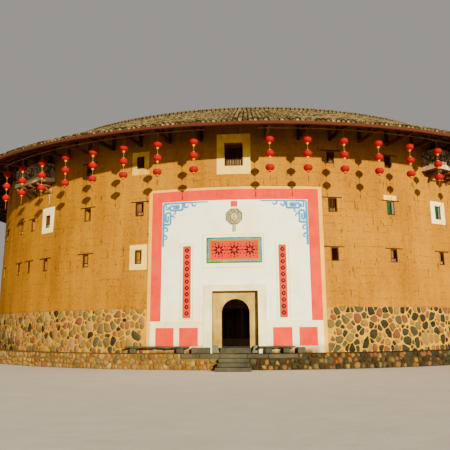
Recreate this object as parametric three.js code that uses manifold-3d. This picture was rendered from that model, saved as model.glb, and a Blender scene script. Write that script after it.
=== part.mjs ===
// Round rammed-earth house (tulou) as a 1:2 scale model.
// Every size below is the full-size building's, in millimetres; the exported group is scaled at the end.
// +Z is up, the gate faces -Y, the origin is on the ring's axis at ground level.
// Angles go from -Y towards +X. A bay is one window column wide, and the gate takes two bays.

import * as THREE from 'three';
import { mergeVertices } from 'three/addons/utils/BufferGeometryUtils.js';
import Module from 'manifold-3d';

const wasm = await Module();
wasm.setup();

// Scale of the model
const SCALE = 1 / 2;

// Plan
const BAYS = 35;
const PITCH = 360 / BAYS;
const HALF_PITCH = PITCH / 2;
const OUTER_FACETS = 2 * BAYS;
const WALL_R = 19000;
const BATTER = 0.022;
const APRON_R = 20150;
const EAVE_R = 21820;
const RIDGE_R = 16500;
const COURT_EAVE_R = 11800;
const GALLERY_R = 12950;
const ROOM_FRONT_R = 14600;

// Levels
const TERRACE_Z = 720;
const STONE_TOP_Z = 2900;
const FLOOR_TOPS = [4200, 6800, 9250];
const FLOOR_T = 180;
const EAVE_UNDER_Z = 11280;
const ROOF_T = 220;
const ROOF_SLOPE = 0.466;
const RIDGE_TOP_Z = 14160;

// Wall thickness: the room face steps back by one ledge at each floor
const WALL_INNER_R = 17700;
const LEDGE = 100;

// Running gap between pieces that touch, and the same gap as an angle at the wall
const GAP = 0.6;
const GAP_ANGLE = 0.001;

// Gate
const GATE_HALF_W = 1130;
const GATE_TOP_Z = 3720;
const SILL_TOP_Z = 970;
const SILL_FRONT_Y = -18900;
const SILL_BACK_Y = -18160;
const SILL_FRONT_HALF_W = 745;
const GUARD_NEAR_X = 760;
const GUARD_TOP_Z = 1090;
const ARCH_FRONT_Y = -18620;
const ARCH_BACK_Y = -18370;
const ARCH_HALF_W = 700;
const ARCH_SPRING_Z = 2640;
const PIVOT_X = 840;
const PIVOT_Y = -18260;
const LEAF_W = 830;
const LEAF_HEEL = 50;
const LEAF_T = 70;
const LEAF_BOTTOM_Z = 985;
const LEAF_TOP_Z = 3420;
const HEAD_BOTTOM_Z = 3440;
const HEAD_TOP_Z = 3640;
const PIN_R = 30.8;
const SOCKET_R = 32.2;
const PIN_L = 90;

// Face of the gate: plaster field, red band, stone surround, name board, couplets, emblem
const PLASTER_T = 40;
const PLASTER_HALF_ANGLE = 13.65;
const PLASTER_TOP_Z = 9000;
const BAND_T = 12;
const BAND_OUTER_ANGLE = 13.05;
const BAND_INNER_ANGLE = 11.36;
const BAND_BOTTOM_Z = 2260;
const BAND_INNER_TOP_Z = 8320;
const BAND_TOP_Z = 8870;
const SURROUND_T = 80;
const SURROUND_HALF_W = 1550;
const SURROUND_TOP_Z = 4020;

// Windows: half-width, sill and head of each upper storey
const WINDOW_ROWS = [
  { halfW: 210, sill: 5190, head: 5890 },
  { halfW: 250, sill: 7710, head: 8450 },
  { halfW: 225, sill: 10280, head: 10960 },
];
const GATE_WINDOW = { halfW: 485, sill: 10110, head: 11300 };

// Two more windows beside the lookout on the front left
const EXTRA_WINDOWS = [
  { angle: -41.8, halfW: 150, sill: 5190, head: 5890 },
  { angle: -41.2, halfW: 250, sill: 7710, head: 8450 },
];

// Lookouts under the eaves
const LOOKOUT_ANGLES = {
  front_left: -39.3,
  front_right: 37.8,
  rear_right: 14.5 * PITCH,
  rear_left: -14.5 * PITCH,
};
const LOOKOUT_HALF_W = 1500;
const LOOKOUT_FRONT_R = 19650;
const LOOKOUT_FLOOR_Z = 10470;
const LOOKOUT_TOP_Z = 11460;
const LOOKOUT_WALL_T = 120;
const LOOKOUT_BRACKETS_X = [-1150, -390, 390, 1150];
const LOOKOUT_DOOR = { halfW: 400, sill: 10490, head: 11400 };

// Eave beams and purlin
const BEAM_BOTTOM_Z = 11500;
const BEAM_H = 180;
const BEAM_W = 150;
const BEAM_END_R = 20890;
const EAVE_PURLIN_R = 20800;
const EAVE_PURLIN_HALF_W = 75;

// Lanterns
const LANTERN_R = 20600;
const LANTERN_CENTRES_Z = [10900, 10200, 9500];
const LANTERN_HALF_H = 155;
const LANTERN_RADIUS = 215;
const LANTERN_STRINGS = 8;
const LANTERN_SIDES = 4;
const WIRE_R = 12;
const TASSEL_END_Z = 8850;

const LARGE = 60000;
const radians = THREE.MathUtils.degToRad;

// Heights of the sloping surfaces
const wallFace = (z) => WALL_R - BATTER * Math.max(0, z - TERRACE_Z);
const roofUnder = (r) => EAVE_UNDER_Z + ROOF_SLOPE * (r > RIDGE_R ? EAVE_R - r : EAVE_R - 2 * RIDGE_R + r);
const roofTop = (r) => roofUnder(r) + ROOF_T;

// Where the leaning face of the wall meets the underside of the roof
const FACE_DROP = EAVE_R - WALL_R - BATTER * TERRACE_Z;
const WALL_TOP_Z = (EAVE_UNDER_Z + ROOF_SLOPE * FACE_DROP) / (1 - ROOF_SLOPE * BATTER);

// A closed three.js geometry as a solid that can be cut and joined
function solid(geometry) {
  const bare = geometry.clone();
  bare.deleteAttribute('normal');
  bare.deleteAttribute('uv');
  const merged = mergeVertices(bare, 0.01);
  const points = merged.attributes.position.array;
  const index = Uint32Array.from(merged.index.array);
  const corner = (i) => new THREE.Vector3().fromArray(points, 3 * index[i]);
  let volume = 0;
  for (let i = 0; i < index.length; i += 3) {
    volume += corner(i).dot(corner(i + 1).cross(corner(i + 2)));
  }
  if (volume < 0) {
    for (let i = 0; i < index.length; i += 3) {
      [index[i], index[i + 1]] = [index[i + 1], index[i]];
    }
  }
  return new wasm.Manifold(new wasm.Mesh({ numProp: 3, vertProperties: points, triVerts: index }));
}

const join = (solids) => solids.reduce((whole, piece) => whole.add(piece));
const cut = (whole, holes) => holes.reduce((left, hole) => left.subtract(hole), whole);

// A closed outline of [radius, height] points turned round the axis
function ring(outline, facets, firstVertex) {
  const points = [...outline, outline[0]].map(([r, z]) => new THREE.Vector2(r, z));
  const lathe = new THREE.LatheGeometry(points, facets, radians(firstVertex));
  return solid(lathe.rotateX(Math.PI / 2));
}

// The outer wall and roof have a flat facet in the middle of each bay and on each bay line.
// Floors and court rings have one facet to a bay, with a corner on each bay line.
const outerRing = (outline) => ring(outline, OUTER_FACETS, HALF_PITCH / 2);
const bayRing = (outline) => ring(outline, BAYS, 0);
const WALL_FLAT = Math.cos(radians(HALF_PITCH / 2));
const BAY_FLAT = Math.cos(radians(HALF_PITCH));

// A wedge of the plan between two angles, as a prism that cuts ring sectors
function wedge(from, to) {
  const shape = new THREE.Shape();
  shape.moveTo(0, 0);
  for (let i = 0; i <= 4; i++) {
    const angle = radians(from + GAP_ANGLE + ((to - from - 2 * GAP_ANGLE) * i) / 4);
    shape.lineTo(LARGE * Math.sin(angle), -LARGE * Math.cos(angle));
  }
  const prism = new THREE.ExtrudeGeometry(shape, { depth: LARGE, bevelEnabled: false });
  return solid(prism.translate(0, 0, -LARGE / 2));
}

// A box between two corners
function box([x0, y0, z0], [x1, y1, z1]) {
  const geometry = new THREE.BoxGeometry(x1 - x0, y1 - y0, z1 - z0);
  return solid(geometry.translate((x0 + x1) / 2, (y0 + y1) / 2, (z0 + z1) / 2));
}

// The same, with -Y turned to the given angle of the plan
const turnedBox = (angle, low, high) => box(low, high).rotate([0, 0, angle]);

// A hole through the outer wall, square to it
function wallHole(angle, { halfW, sill, head }) {
  return turnedBox(angle, [-halfW, -WALL_R - 400, sill], [halfW, -WALL_INNER_R + 400, head]);
}

// A layer on the wall's outer face, between two distances from it
function faceLayer(inner, outer, bottom, top) {
  return outerRing([
    [wallFace(bottom) + inner, bottom],
    [wallFace(bottom) + outer, bottom],
    [wallFace(top) + outer, top],
    [wallFace(top) + inner, top],
  ]);
}

// Steps in the room face of the wall, from the ground to the roof
function roomFace() {
  const points = [];
  FLOOR_TOPS.forEach((top, storey) => {
    points.push([WALL_INNER_R + LEDGE * storey, top - FLOOR_T]);
    points.push([WALL_INNER_R + LEDGE * (storey + 1), top - FLOOR_T]);
  });
  return points;
}

// Earth wall between a level and the roof
function earthWallRing(bottom) {
  const innerTop = WALL_INNER_R + LEDGE * FLOOR_TOPS.length;
  const outerTop = wallFace(WALL_TOP_Z);
  return outerRing([
    [WALL_INNER_R, bottom],
    [wallFace(bottom), bottom],
    [outerTop, roofUnder(outerTop) - GAP],
    [innerTop, roofUnder(innerTop) - GAP],
    ...roomFace().reverse(),
  ]);
}

function outsideWall(piece) {
  const core = outerRing([
    [1000, -100],
    [WALL_R + GAP, -100],
    [WALL_R + GAP, TERRACE_Z],
    [wallFace(14000) + GAP, 14000],
    [1000, 14000],
  ]);
  return piece.subtract(core);
}

// Stone base and apron

function apron(from, to) {
  return outerRing([
    [WALL_R + GAP, 0],
    [APRON_R, 0],
    [APRON_R, TERRACE_Z],
    [WALL_R + GAP, TERRACE_Z],
  ]).intersect(wedge(from * PITCH, to * PITCH));
}

function stoneBase(from, to) {
  return outerRing([
    [WALL_INNER_R, 0],
    [WALL_R, 0],
    [WALL_R, TERRACE_Z],
    [wallFace(STONE_TOP_Z), STONE_TOP_Z],
    [WALL_INNER_R, STONE_TOP_Z],
  ]).intersect(wedge(from * PITCH, to * PITCH));
}

// Earth walls with their windows

const turnOf = (angle) => (angle < 0 ? angle + 360 : angle);
const lookoutBays = Object.values(LOOKOUT_ANGLES).map((angle) => Math.floor(turnOf(angle) / PITCH + 0.001));

function windowHoles(from, to) {
  const holes = [];
  for (let bay = from; bay < to; bay++) {
    WINDOW_ROWS.forEach((row, storey) => {
      if (storey < 2 || !lookoutBays.includes(bay)) {
        holes.push(wallHole((bay + 0.5) * PITCH, row));
      }
    });
  }
  Object.values(LOOKOUT_ANGLES).forEach((angle) => holes.push(wallHole(angle, LOOKOUT_DOOR)));
  EXTRA_WINDOWS.forEach((window) => holes.push(wallHole(window.angle, window)));
  return holes;
}

function earthWall(from, to) {
  const wall = earthWallRing(STONE_TOP_Z + GAP).intersect(wedge(from * PITCH, to * PITCH));
  return cut(wall, windowHoles(from, to));
}

// Gate in the wall

function gateWall(side) {
  const wall = outerRing([
    [WALL_INNER_R, 0],
    [WALL_R, 0],
    [WALL_R, TERRACE_Z],
    [wallFace(GATE_TOP_Z), GATE_TOP_Z],
    [WALL_INNER_R, GATE_TOP_Z],
  ]);
  const sector = side < 0 ? wedge(-PITCH, 0) : wedge(0, PITCH);
  const clear = box([-GATE_HALF_W, -LARGE, -100], [GATE_HALF_W, 0, LARGE]);
  return wall.intersect(sector).subtract(clear);
}

function gateWallOver() {
  const wall = earthWallRing(GATE_TOP_Z + GAP).intersect(wedge(-PITCH, PITCH));
  return wall.subtract(wallHole(0, GATE_WINDOW));
}

function socket(x, bottom, top) {
  const bore = new THREE.CylinderGeometry(SOCKET_R, SOCKET_R, top - bottom, 16);
  return solid(bore.rotateX(Math.PI / 2).translate(x, PIVOT_Y, (bottom + top) / 2));
}

function gateSill() {
  const halfW = GATE_HALF_W - GAP;
  const foot = outerRing([[WALL_INNER_R, 0], [WALL_R, 0], [WALL_R, TERRACE_Z], [WALL_INNER_R, TERRACE_Z]]);
  const bed = foot.intersect(box([-halfW, -LARGE, -100], [halfW, 0, LARGE]));
  const sill = box([-halfW, ARCH_FRONT_Y, TERRACE_Z], [halfW, SILL_BACK_Y, SILL_TOP_Z]);
  const nose = box(
    [-SILL_FRONT_HALF_W, SILL_FRONT_Y, TERRACE_Z],
    [SILL_FRONT_HALF_W, ARCH_FRONT_Y, SILL_TOP_Z],
  );
  const sockets = [-PIVOT_X, PIVOT_X].map((x) => socket(x, SILL_TOP_Z - PIN_L, SILL_TOP_Z + 50));
  return cut(bed.add(sill).add(nose), sockets);
}

function gateHead() {
  const halfW = GATE_HALF_W - GAP;
  const beam = box([-halfW, ARCH_BACK_Y + GAP, HEAD_BOTTOM_Z], [halfW, PIVOT_Y + 100, HEAD_TOP_Z]);
  const sockets = [-PIVOT_X, PIVOT_X].map((x) => socket(x, HEAD_BOTTOM_Z - 50, HEAD_BOTTOM_Z + PIN_L));
  return cut(beam, sockets);
}

function archStone() {
  const halfW = GATE_HALF_W - GAP;
  const outline = new THREE.Shape();
  outline.moveTo(-halfW, SILL_TOP_Z + GAP);
  outline.lineTo(-ARCH_HALF_W, SILL_TOP_Z + GAP);
  outline.lineTo(-ARCH_HALF_W, ARCH_SPRING_Z);
  outline.absarc(0, ARCH_SPRING_Z, ARCH_HALF_W, Math.PI, 0, true);
  outline.lineTo(ARCH_HALF_W, SILL_TOP_Z + GAP);
  outline.lineTo(halfW, SILL_TOP_Z + GAP);
  outline.lineTo(halfW, GATE_TOP_Z - GAP);
  outline.lineTo(-halfW, GATE_TOP_Z - GAP);
  const depth = ARCH_BACK_Y - ARCH_FRONT_Y;
  const slab = new THREE.ExtrudeGeometry(outline, { depth, bevelEnabled: false, curveSegments: 14 });
  return solid(slab.rotateX(Math.PI / 2).translate(0, ARCH_BACK_Y, 0));
}

// A gate leaf, standing open, with a pin in the sill and one in the head beam
function gateLeaf(side) {
  const x = side * PIVOT_X;
  const board = box(
    [x - LEAF_T / 2, PIVOT_Y - LEAF_HEEL, LEAF_BOTTOM_Z],
    [x + LEAF_T / 2, PIVOT_Y + LEAF_W, LEAF_TOP_Z],
  );
  const low = SILL_TOP_Z - PIN_L + GAP;
  const high = HEAD_BOTTOM_Z + PIN_L - GAP;
  const pin = new THREE.CylinderGeometry(PIN_R, PIN_R, high - low, 12);
  return board.add(solid(pin.rotateX(Math.PI / 2).translate(x, PIVOT_Y, (low + high) / 2)));
}

function guardStone(side) {
  const far = GATE_HALF_W - GAP - 5;
  const [x0, x1] = side < 0 ? [-far, -GUARD_NEAR_X] : [GUARD_NEAR_X, far];
  return box([x0, ARCH_FRONT_Y - 260, TERRACE_Z + GAP], [x1, ARCH_FRONT_Y - GAP, GUARD_TOP_Z]);
}

// Face of the gate

function plasterField() {
  const layer = faceLayer(GAP, PLASTER_T, TERRACE_Z + GAP, PLASTER_TOP_Z);
  const sector = layer.intersect(wedge(-PLASTER_HALF_ANGLE, PLASTER_HALF_ANGLE));
  const clear = SURROUND_HALF_W + GAP;
  return sector.subtract(box([-clear, -LARGE, -100], [clear, 0, SURROUND_TOP_Z + GAP]));
}

function redBand() {
  const layer = faceLayer(PLASTER_T + GAP, PLASTER_T + BAND_T, BAND_BOTTOM_Z, BAND_TOP_Z);
  const inside = faceLayer(0, 2 * PLASTER_T, BAND_BOTTOM_Z - 100, BAND_INNER_TOP_Z);
  return layer
    .intersect(wedge(-BAND_OUTER_ANGLE, BAND_OUTER_ANGLE))
    .subtract(inside.intersect(wedge(-BAND_INNER_ANGLE, BAND_INNER_ANGLE)));
}

function gateSurround() {
  const layer = faceLayer(GAP, SURROUND_T, TERRACE_Z + GAP, SURROUND_TOP_Z);
  const block = box([-SURROUND_HALF_W, -LARGE, 0], [SURROUND_HALF_W, 0, LARGE]);
  return layer.intersect(block).subtract(box([-GATE_HALF_W, -LARGE, -100], [GATE_HALF_W, 0, GATE_TOP_Z]));
}

// A board that lies on the plaster, following the wall
function faceBoard(x0, x1, bottom, top, thickness) {
  const layer = faceLayer(PLASTER_T + GAP, PLASTER_T + thickness, bottom, top);
  return layer.intersect(box([x0, -LARGE, 0], [x1, 0, LARGE]));
}

function emblem() {
  const centreZ = 7450;
  const octagon = new THREE.CylinderGeometry(430, 430, 4000, 8);
  const prism = solid(octagon.rotateY(Math.PI / 8).translate(0, -WALL_R, centreZ));
  const handle = box([-45, -LARGE, 6680], [45, 0, centreZ]);
  return faceLayer(PLASTER_T + GAP, PLASTER_T + 45, 6600, 8000).intersect(prism.add(handle));
}

// Steps and benches

function step(course) {
  const rise = TERRACE_Z / 4;
  const halfW = [825, 740, 700][course];
  const back = -APRON_R * WALL_FLAT - GAP;
  const bottom = rise * course + (course > 0 ? GAP : 0);
  return box([-halfW, back - 300 * (3 - course), bottom], [halfW, back, rise * (course + 1)]);
}

function bench(angle, length) {
  const back = -WALL_R - 90;
  const half = length / 2;
  const slab = turnedBox(angle, [-half, back - 380, TERRACE_Z + 250], [half, back, TERRACE_Z + 345]);
  const blocks = [-1, 1].map((end) => {
    const x = end * (half - 420);
    return turnedBox(angle, [x - 170, back - 330, TERRACE_Z + GAP], [x + 170, back - 50, TERRACE_Z + 251]);
  });
  return join([slab, ...blocks]);
}

// A stone standing at the end of a bench
function endBlock(angle, length) {
  const back = -WALL_R - 100;
  const half = length / 2;
  return turnedBox(angle, [-half, back - 320, TERRACE_Z + GAP], [half, back, TERRACE_Z + 290]);
}

// Floors, room fronts and the court's frame

function groundFloor() {
  const edge = WALL_INNER_R * WALL_FLAT - GAP;
  return bayRing([
    [GALLERY_R - 250, 0],
    [edge, 0],
    [edge, TERRACE_Z],
    [GALLERY_R - 250, TERRACE_Z],
  ]);
}

function upperFloor(storey) {
  const top = FLOOR_TOPS[storey];
  const bearing = (WALL_INNER_R + LEDGE * (storey + 1)) * WALL_FLAT - GAP;
  return bayRing([
    [GALLERY_R + 90, top - FLOOR_T + GAP],
    [bearing, top - FLOOR_T + GAP],
    [bearing, top],
    [GALLERY_R + 90, top],
  ]);
}

// Board wall between the rooms and the gallery, with a doorway in every third bay
function roomFront(storey) {
  const bottom = (storey === 0 ? TERRACE_Z : FLOOR_TOPS[storey - 1]) + GAP;
  const roof = roofUnder(((ROOM_FRONT_R - 50) * BAY_FLAT) / WALL_FLAT) - GAP;
  const top = storey === 3 ? roof : FLOOR_TOPS[storey] - FLOOR_T;
  const wall = bayRing([
    [ROOM_FRONT_R - 50, bottom],
    [ROOM_FRONT_R + 50, bottom],
    [ROOM_FRONT_R + 50, top],
    [ROOM_FRONT_R - 50, top],
  ]);
  const doors = [];
  for (let bay = 1; bay < BAYS - 1; bay += 3) {
    const low = [-450, -ROOM_FRONT_R - 500, bottom + 150];
    const high = [450, -ROOM_FRONT_R + 500, bottom + 2050];
    doors.push(turnedBox((bay + 0.5) * PITCH, low, high));
  }
  const open = cut(wall, doors);
  return storey === 0 ? open.intersect(wedge(PITCH, 360 - PITCH)) : open;
}

// Posts, floor beams and boarded balustrades round the court
function courtFrame(from, to) {
  const rails = FLOOR_TOPS.map((top) => bayRing([
    [GALLERY_R - 30, top - FLOOR_T - 220],
    [GALLERY_R + 450, top - FLOOR_T - 220],
    [GALLERY_R + 450, top - FLOOR_T],
    [GALLERY_R + 40, top - FLOOR_T],
    [GALLERY_R + 40, top + 950],
    [GALLERY_R - 30, top + 950],
  ]).intersect(wedge(from * PITCH, to * PITCH)));
  const postTop = roofUnder(GALLERY_R - 130) - GAP;
  const posts = [];
  for (let bay = Math.max(1, Math.ceil(from)); bay < Math.min(to, BAYS); bay++) {
    const low = [-90, -GALLERY_R - 50, TERRACE_Z + GAP];
    posts.push(turnedBox(bay * PITCH, low, [90, -GALLERY_R + 130, postTop]));
  }
  return join([...rails, ...posts]);
}

// Roof

function outerSlope() {
  return outerRing([
    [RIDGE_R + GAP, roofUnder(RIDGE_R + GAP)],
    [EAVE_R, EAVE_UNDER_Z],
    [EAVE_R, roofTop(EAVE_R)],
    [RIDGE_R + GAP, roofTop(RIDGE_R + GAP)],
  ]);
}

function courtSlope() {
  return outerRing([
    [COURT_EAVE_R, roofUnder(COURT_EAVE_R)],
    [RIDGE_R - GAP, roofUnder(RIDGE_R - GAP)],
    [RIDGE_R - GAP, roofTop(RIDGE_R - GAP)],
    [COURT_EAVE_R, roofTop(COURT_EAVE_R)],
  ]);
}

function roofRidge() {
  const bottom = roofTop(RIDGE_R) + GAP;
  return bayRing([
    [RIDGE_R - 130, bottom],
    [RIDGE_R + 130, bottom],
    [RIDGE_R + 130, RIDGE_TOP_Z],
    [RIDGE_R - 130, RIDGE_TOP_Z],
  ]);
}

// Beams that carry the eaves, from the wall's face to the purlin under the roof
function eaveBeams(from, to) {
  const inner = wallFace(BEAM_BOTTOM_Z) * WALL_FLAT + GAP;
  const outer = EAVE_PURLIN_R + EAVE_PURLIN_HALF_W;
  const top = roofUnder(outer / WALL_FLAT) - GAP;
  const purlin = bayRing([
    [EAVE_PURLIN_R - EAVE_PURLIN_HALF_W, BEAM_BOTTOM_Z + 110],
    [outer, BEAM_BOTTOM_Z + 110],
    [outer, top],
    [EAVE_PURLIN_R - EAVE_PURLIN_HALF_W, top],
  ]).intersect(wedge(from * PITCH, to * PITCH));
  const beams = [];
  for (let i = Math.max(1, Math.ceil(2 * from)); i < Math.min(2 * to, 2 * BAYS); i++) {
    const low = [-BEAM_W / 2, -BEAM_END_R, BEAM_BOTTOM_Z];
    const high = [BEAM_W / 2, -inner, BEAM_BOTTOM_Z + BEAM_H];
    beams.push(turnedBox(i * HALF_PITCH, low, high));
  }
  return join([purlin, ...beams]);
}

// Lookout: a box with an open top under the eaves, on joists and brackets
function lookout(angle) {
  const back = -WALL_R + 500;
  const half = LOOKOUT_HALF_W;
  const shell = box([-half, -LOOKOUT_FRONT_R, LOOKOUT_FLOOR_Z - 150], [half, back, LOOKOUT_TOP_Z]);
  const room = box(
    [-half + LOOKOUT_WALL_T, -LOOKOUT_FRONT_R + LOOKOUT_WALL_T, LOOKOUT_FLOOR_Z],
    [half - LOOKOUT_WALL_T, back + 100, LOOKOUT_TOP_Z + 100],
  );
  const deck = box(
    [-half - 60, -LOOKOUT_FRONT_R - 60, LOOKOUT_FLOOR_Z - 200],
    [half + 60, back, LOOKOUT_FLOOR_Z - 100],
  );
  const brackets = LOOKOUT_BRACKETS_X.map((x) => {
    const side = new THREE.Shape();
    side.moveTo(back, LOOKOUT_FLOOR_Z - 150);
    side.lineTo(-LOOKOUT_FRONT_R + 60, LOOKOUT_FLOOR_Z - 150);
    side.lineTo(-LOOKOUT_FRONT_R + 60, LOOKOUT_FLOOR_Z - 330);
    side.lineTo(back, LOOKOUT_FLOOR_Z - 750);
    const plate = new THREE.ExtrudeGeometry(side, { depth: 170, bevelEnabled: false });
    plate.applyMatrix4(new THREE.Matrix4().makeBasis(
      new THREE.Vector3(0, 1, 0), new THREE.Vector3(0, 0, 1), new THREE.Vector3(1, 0, 0)));
    return solid(plate.translate(x - 85, 0, 0));
  });
  const whole = join([shell.subtract(room), deck, ...brackets]);
  return outsideWall(whole.rotate([0, 0, angle]));
}

// Strings of three lanterns under the eave beams, on one wire
function lanternString(angle, hangZ) {
  const outline = [[0, hangZ], [WIRE_R, hangZ]];
  LANTERN_CENTRES_Z.forEach((z) => {
    outline.push([WIRE_R, z + LANTERN_HALF_H], [LANTERN_RADIUS, z + 0.45 * LANTERN_HALF_H]);
    outline.push([LANTERN_RADIUS, z - 0.45 * LANTERN_HALF_H], [WIRE_R, z - LANTERN_HALF_H]);
  });
  outline.push([WIRE_R, TASSEL_END_Z], [0, TASSEL_END_Z]);
  const lathe = new THREE.LatheGeometry(outline.map(([r, z]) => new THREE.Vector2(r, z)), LANTERN_SIDES);
  const string = solid(lathe.rotateX(Math.PI / 2));
  return string.translate([0, -LANTERN_R, 0]).rotate([0, 0, angle]);
}

function lanterns(side) {
  const top = BEAM_BOTTOM_Z - GAP;
  const last = (LANTERN_STRINGS + 0.3) * HALF_PITCH;
  const line = outerRing([
    [LANTERN_R - 15, top - 30],
    [LANTERN_R + 15, top - 30],
    [LANTERN_R + 15, top],
    [LANTERN_R - 15, top],
  ]);
  const strings = [];
  for (let i = 1; i <= LANTERN_STRINGS; i++) {
    strings.push(lanternString(side * i * HALF_PITCH, top - 10));
  }
  const reach = side < 0 ? wedge(-last, -0.7 * HALF_PITCH) : wedge(0.7 * HALF_PITCH, last);
  return join([line.intersect(reach), ...strings]);
}

// Materials by what the piece is made of

const paint = (colour, roughness) => ({ color: colour, roughness, metalness: 0 });
const FINISHES = {
  earth: paint(0xd3a04c, 0.95),
  cobbles: paint(0x8d7448, 0.9),
  granite: paint(0xa79c86, 0.85),
  sandstone: paint(0xc9a877, 0.85),
  plaster: paint(0xe9e6dc, 0.9),
  salmon: paint(0xc65a52, 0.85),
  red_paint: paint(0xb3222a, 0.6),
  timber: paint(0x6b4a34, 0.8),
  tiles: paint(0x6d6a5c, 0.9),
  lime_wash: paint(0x9b948a, 0.95),
  lantern: paint(0xd22a22, 0.6),
  bronze: paint(0x8a7a66, 0.7),
};

const group = new THREE.Group();

function place(name, finish, piece) {
  const mesh = piece.getMesh();
  const geometry = new THREE.BufferGeometry();
  geometry.setAttribute('position', new THREE.BufferAttribute(Float32Array.from(mesh.vertProperties), 3));
  geometry.setIndex(new THREE.BufferAttribute(Uint32Array.from(mesh.triVerts), 1));
  const material = new THREE.MeshStandardMaterial({ ...FINISHES[finish], flatShading: true });
  const node = new THREE.Mesh(geometry, material);
  node.name = name;
  group.add(node);
}

const SECTORS = { right: [1, 12], rear: [12, 23], left: [23, 34] };
const HALVES = { right: [0, 17.35], left: [17.35, 35] };
const COURT_QUARTERS = {
  front_right: [0.1, 8.5],
  rear_right: [8.5, 17.5],
  rear_left: [17.5, 26.5],
  front_left: [26.5, BAYS + 0.1],
};

for (const [side, [from, to]] of Object.entries(SECTORS)) {
  place(`stone_base_${side}`, 'cobbles', stoneBase(from, to));
  place(`earth_wall_${side}`, 'earth', earthWall(from, to));
}
for (const [side, [from, to]] of Object.entries(HALVES)) {
  place(`apron_${side}`, 'cobbles', apron(from, to));
  place(`eave_beams_${side}`, 'timber', eaveBeams(from, to));
}
for (const [where, [from, to]] of Object.entries(COURT_QUARTERS)) {
  place(`court_frame_${where}`, 'timber', courtFrame(from, to));
}

place('gate_wall_left', 'earth', gateWall(-1));
place('gate_wall_right', 'earth', gateWall(1));
place('gate_wall_over', 'earth', gateWallOver());
place('gate_sill', 'granite', gateSill());
place('gate_arch_stone', 'sandstone', archStone());
place('gate_head_beam', 'timber', gateHead());
place('gate_leaf_left', 'timber', gateLeaf(-1));
place('gate_leaf_right', 'timber', gateLeaf(1));
place('guard_stone_left', 'granite', guardStone(-1));
place('guard_stone_right', 'granite', guardStone(1));
place('gate_surround', 'granite', gateSurround());
place('gate_plaster', 'plaster', plasterField());
place('gate_red_band', 'salmon', redBand());
place('name_board', 'red_paint', faceBoard(-1380, 1370, 5110, 6390, 90));
place('couplet_left', 'red_paint', faceBoard(-2590, -2220, 2430, 5980, 50));
place('couplet_right', 'red_paint', faceBoard(2220, 2560, 2430, 5980, 50));
place('gate_emblem', 'bronze', emblem());
place('bench_left', 'granite', bench(-11.6, 3300));
place('bench_right', 'granite', bench(6, 1700));
place('end_block_left', 'granite', endBlock(-4.9, 900));
place('end_block_right', 'granite', endBlock(9.4, 400));
for (let course = 0; course < 3; course++) {
  place(`gate_step_${course + 1}`, 'granite', step(course));
}

place('ground_floor', 'granite', groundFloor());
FLOOR_TOPS.forEach((top, storey) => place(`floor_${storey + 2}`, 'timber', upperFloor(storey)));
for (let storey = 0; storey < 4; storey++) {
  place(`room_front_${storey + 1}`, 'timber', roomFront(storey));
}
place('roof_outer_slope', 'tiles', outerSlope());
place('roof_court_slope', 'tiles', courtSlope());
place('roof_ridge', 'tiles', roofRidge());

for (const [where, angle] of Object.entries(LOOKOUT_ANGLES)) {
  place(`lookout_${where}`, 'lime_wash', lookout(angle));
}
place('lanterns_left', 'lantern', lanterns(-1));
place('lanterns_right', 'lantern', lanterns(1));

group.scale.setScalar(SCALE);

export default group;
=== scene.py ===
"""Looks of the round rammed-earth house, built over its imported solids.

Sizes are the full-size building's in millimetres, as in the part's source, and become
metres of the 1:2 model when a mesh is made. Angles go from -Y towards +X.
"""

from __future__ import annotations

import logging
import math
from dataclasses import dataclass
from enum import Enum
from typing import Callable, Sequence

import bmesh
import bpy
import numpy as np
from mathutils import Matrix, Vector


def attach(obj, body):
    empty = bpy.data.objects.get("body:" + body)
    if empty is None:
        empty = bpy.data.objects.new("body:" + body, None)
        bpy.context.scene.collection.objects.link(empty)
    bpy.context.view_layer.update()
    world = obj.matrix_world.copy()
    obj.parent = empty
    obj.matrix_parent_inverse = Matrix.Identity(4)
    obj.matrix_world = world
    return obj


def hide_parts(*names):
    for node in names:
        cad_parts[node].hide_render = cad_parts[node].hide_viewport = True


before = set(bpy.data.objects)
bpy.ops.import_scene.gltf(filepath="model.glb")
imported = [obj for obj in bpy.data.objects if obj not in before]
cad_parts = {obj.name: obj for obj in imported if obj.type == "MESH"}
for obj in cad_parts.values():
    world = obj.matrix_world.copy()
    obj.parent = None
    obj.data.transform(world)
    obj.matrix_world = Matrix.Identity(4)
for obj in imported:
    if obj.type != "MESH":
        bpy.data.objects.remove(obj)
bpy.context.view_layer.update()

MM = 0.0005
GLOSS = 0.1
Array = np.ndarray
Socket = bpy.types.NodeSocket
Radius = float | Callable[[Array, Array], Array]
Span = tuple[float, float]
Triple = tuple[float, float, float]
Hole = tuple[float, float, float, float]
log = logging.getLogger("roundhouse")


# Shader graphs


def linear(colour: str) -> tuple[float, float, float, float]:
    """A screen colour such as d9a04a as the linear numbers that shaders take."""
    parts = [int(colour[i : i + 2], 16) / 255 for i in (0, 2, 4)]
    return (*[c / 12.92 if c <= 0.04045 else ((c + 0.055) / 1.055) ** 2.4 for c in parts], 1.0)


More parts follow.
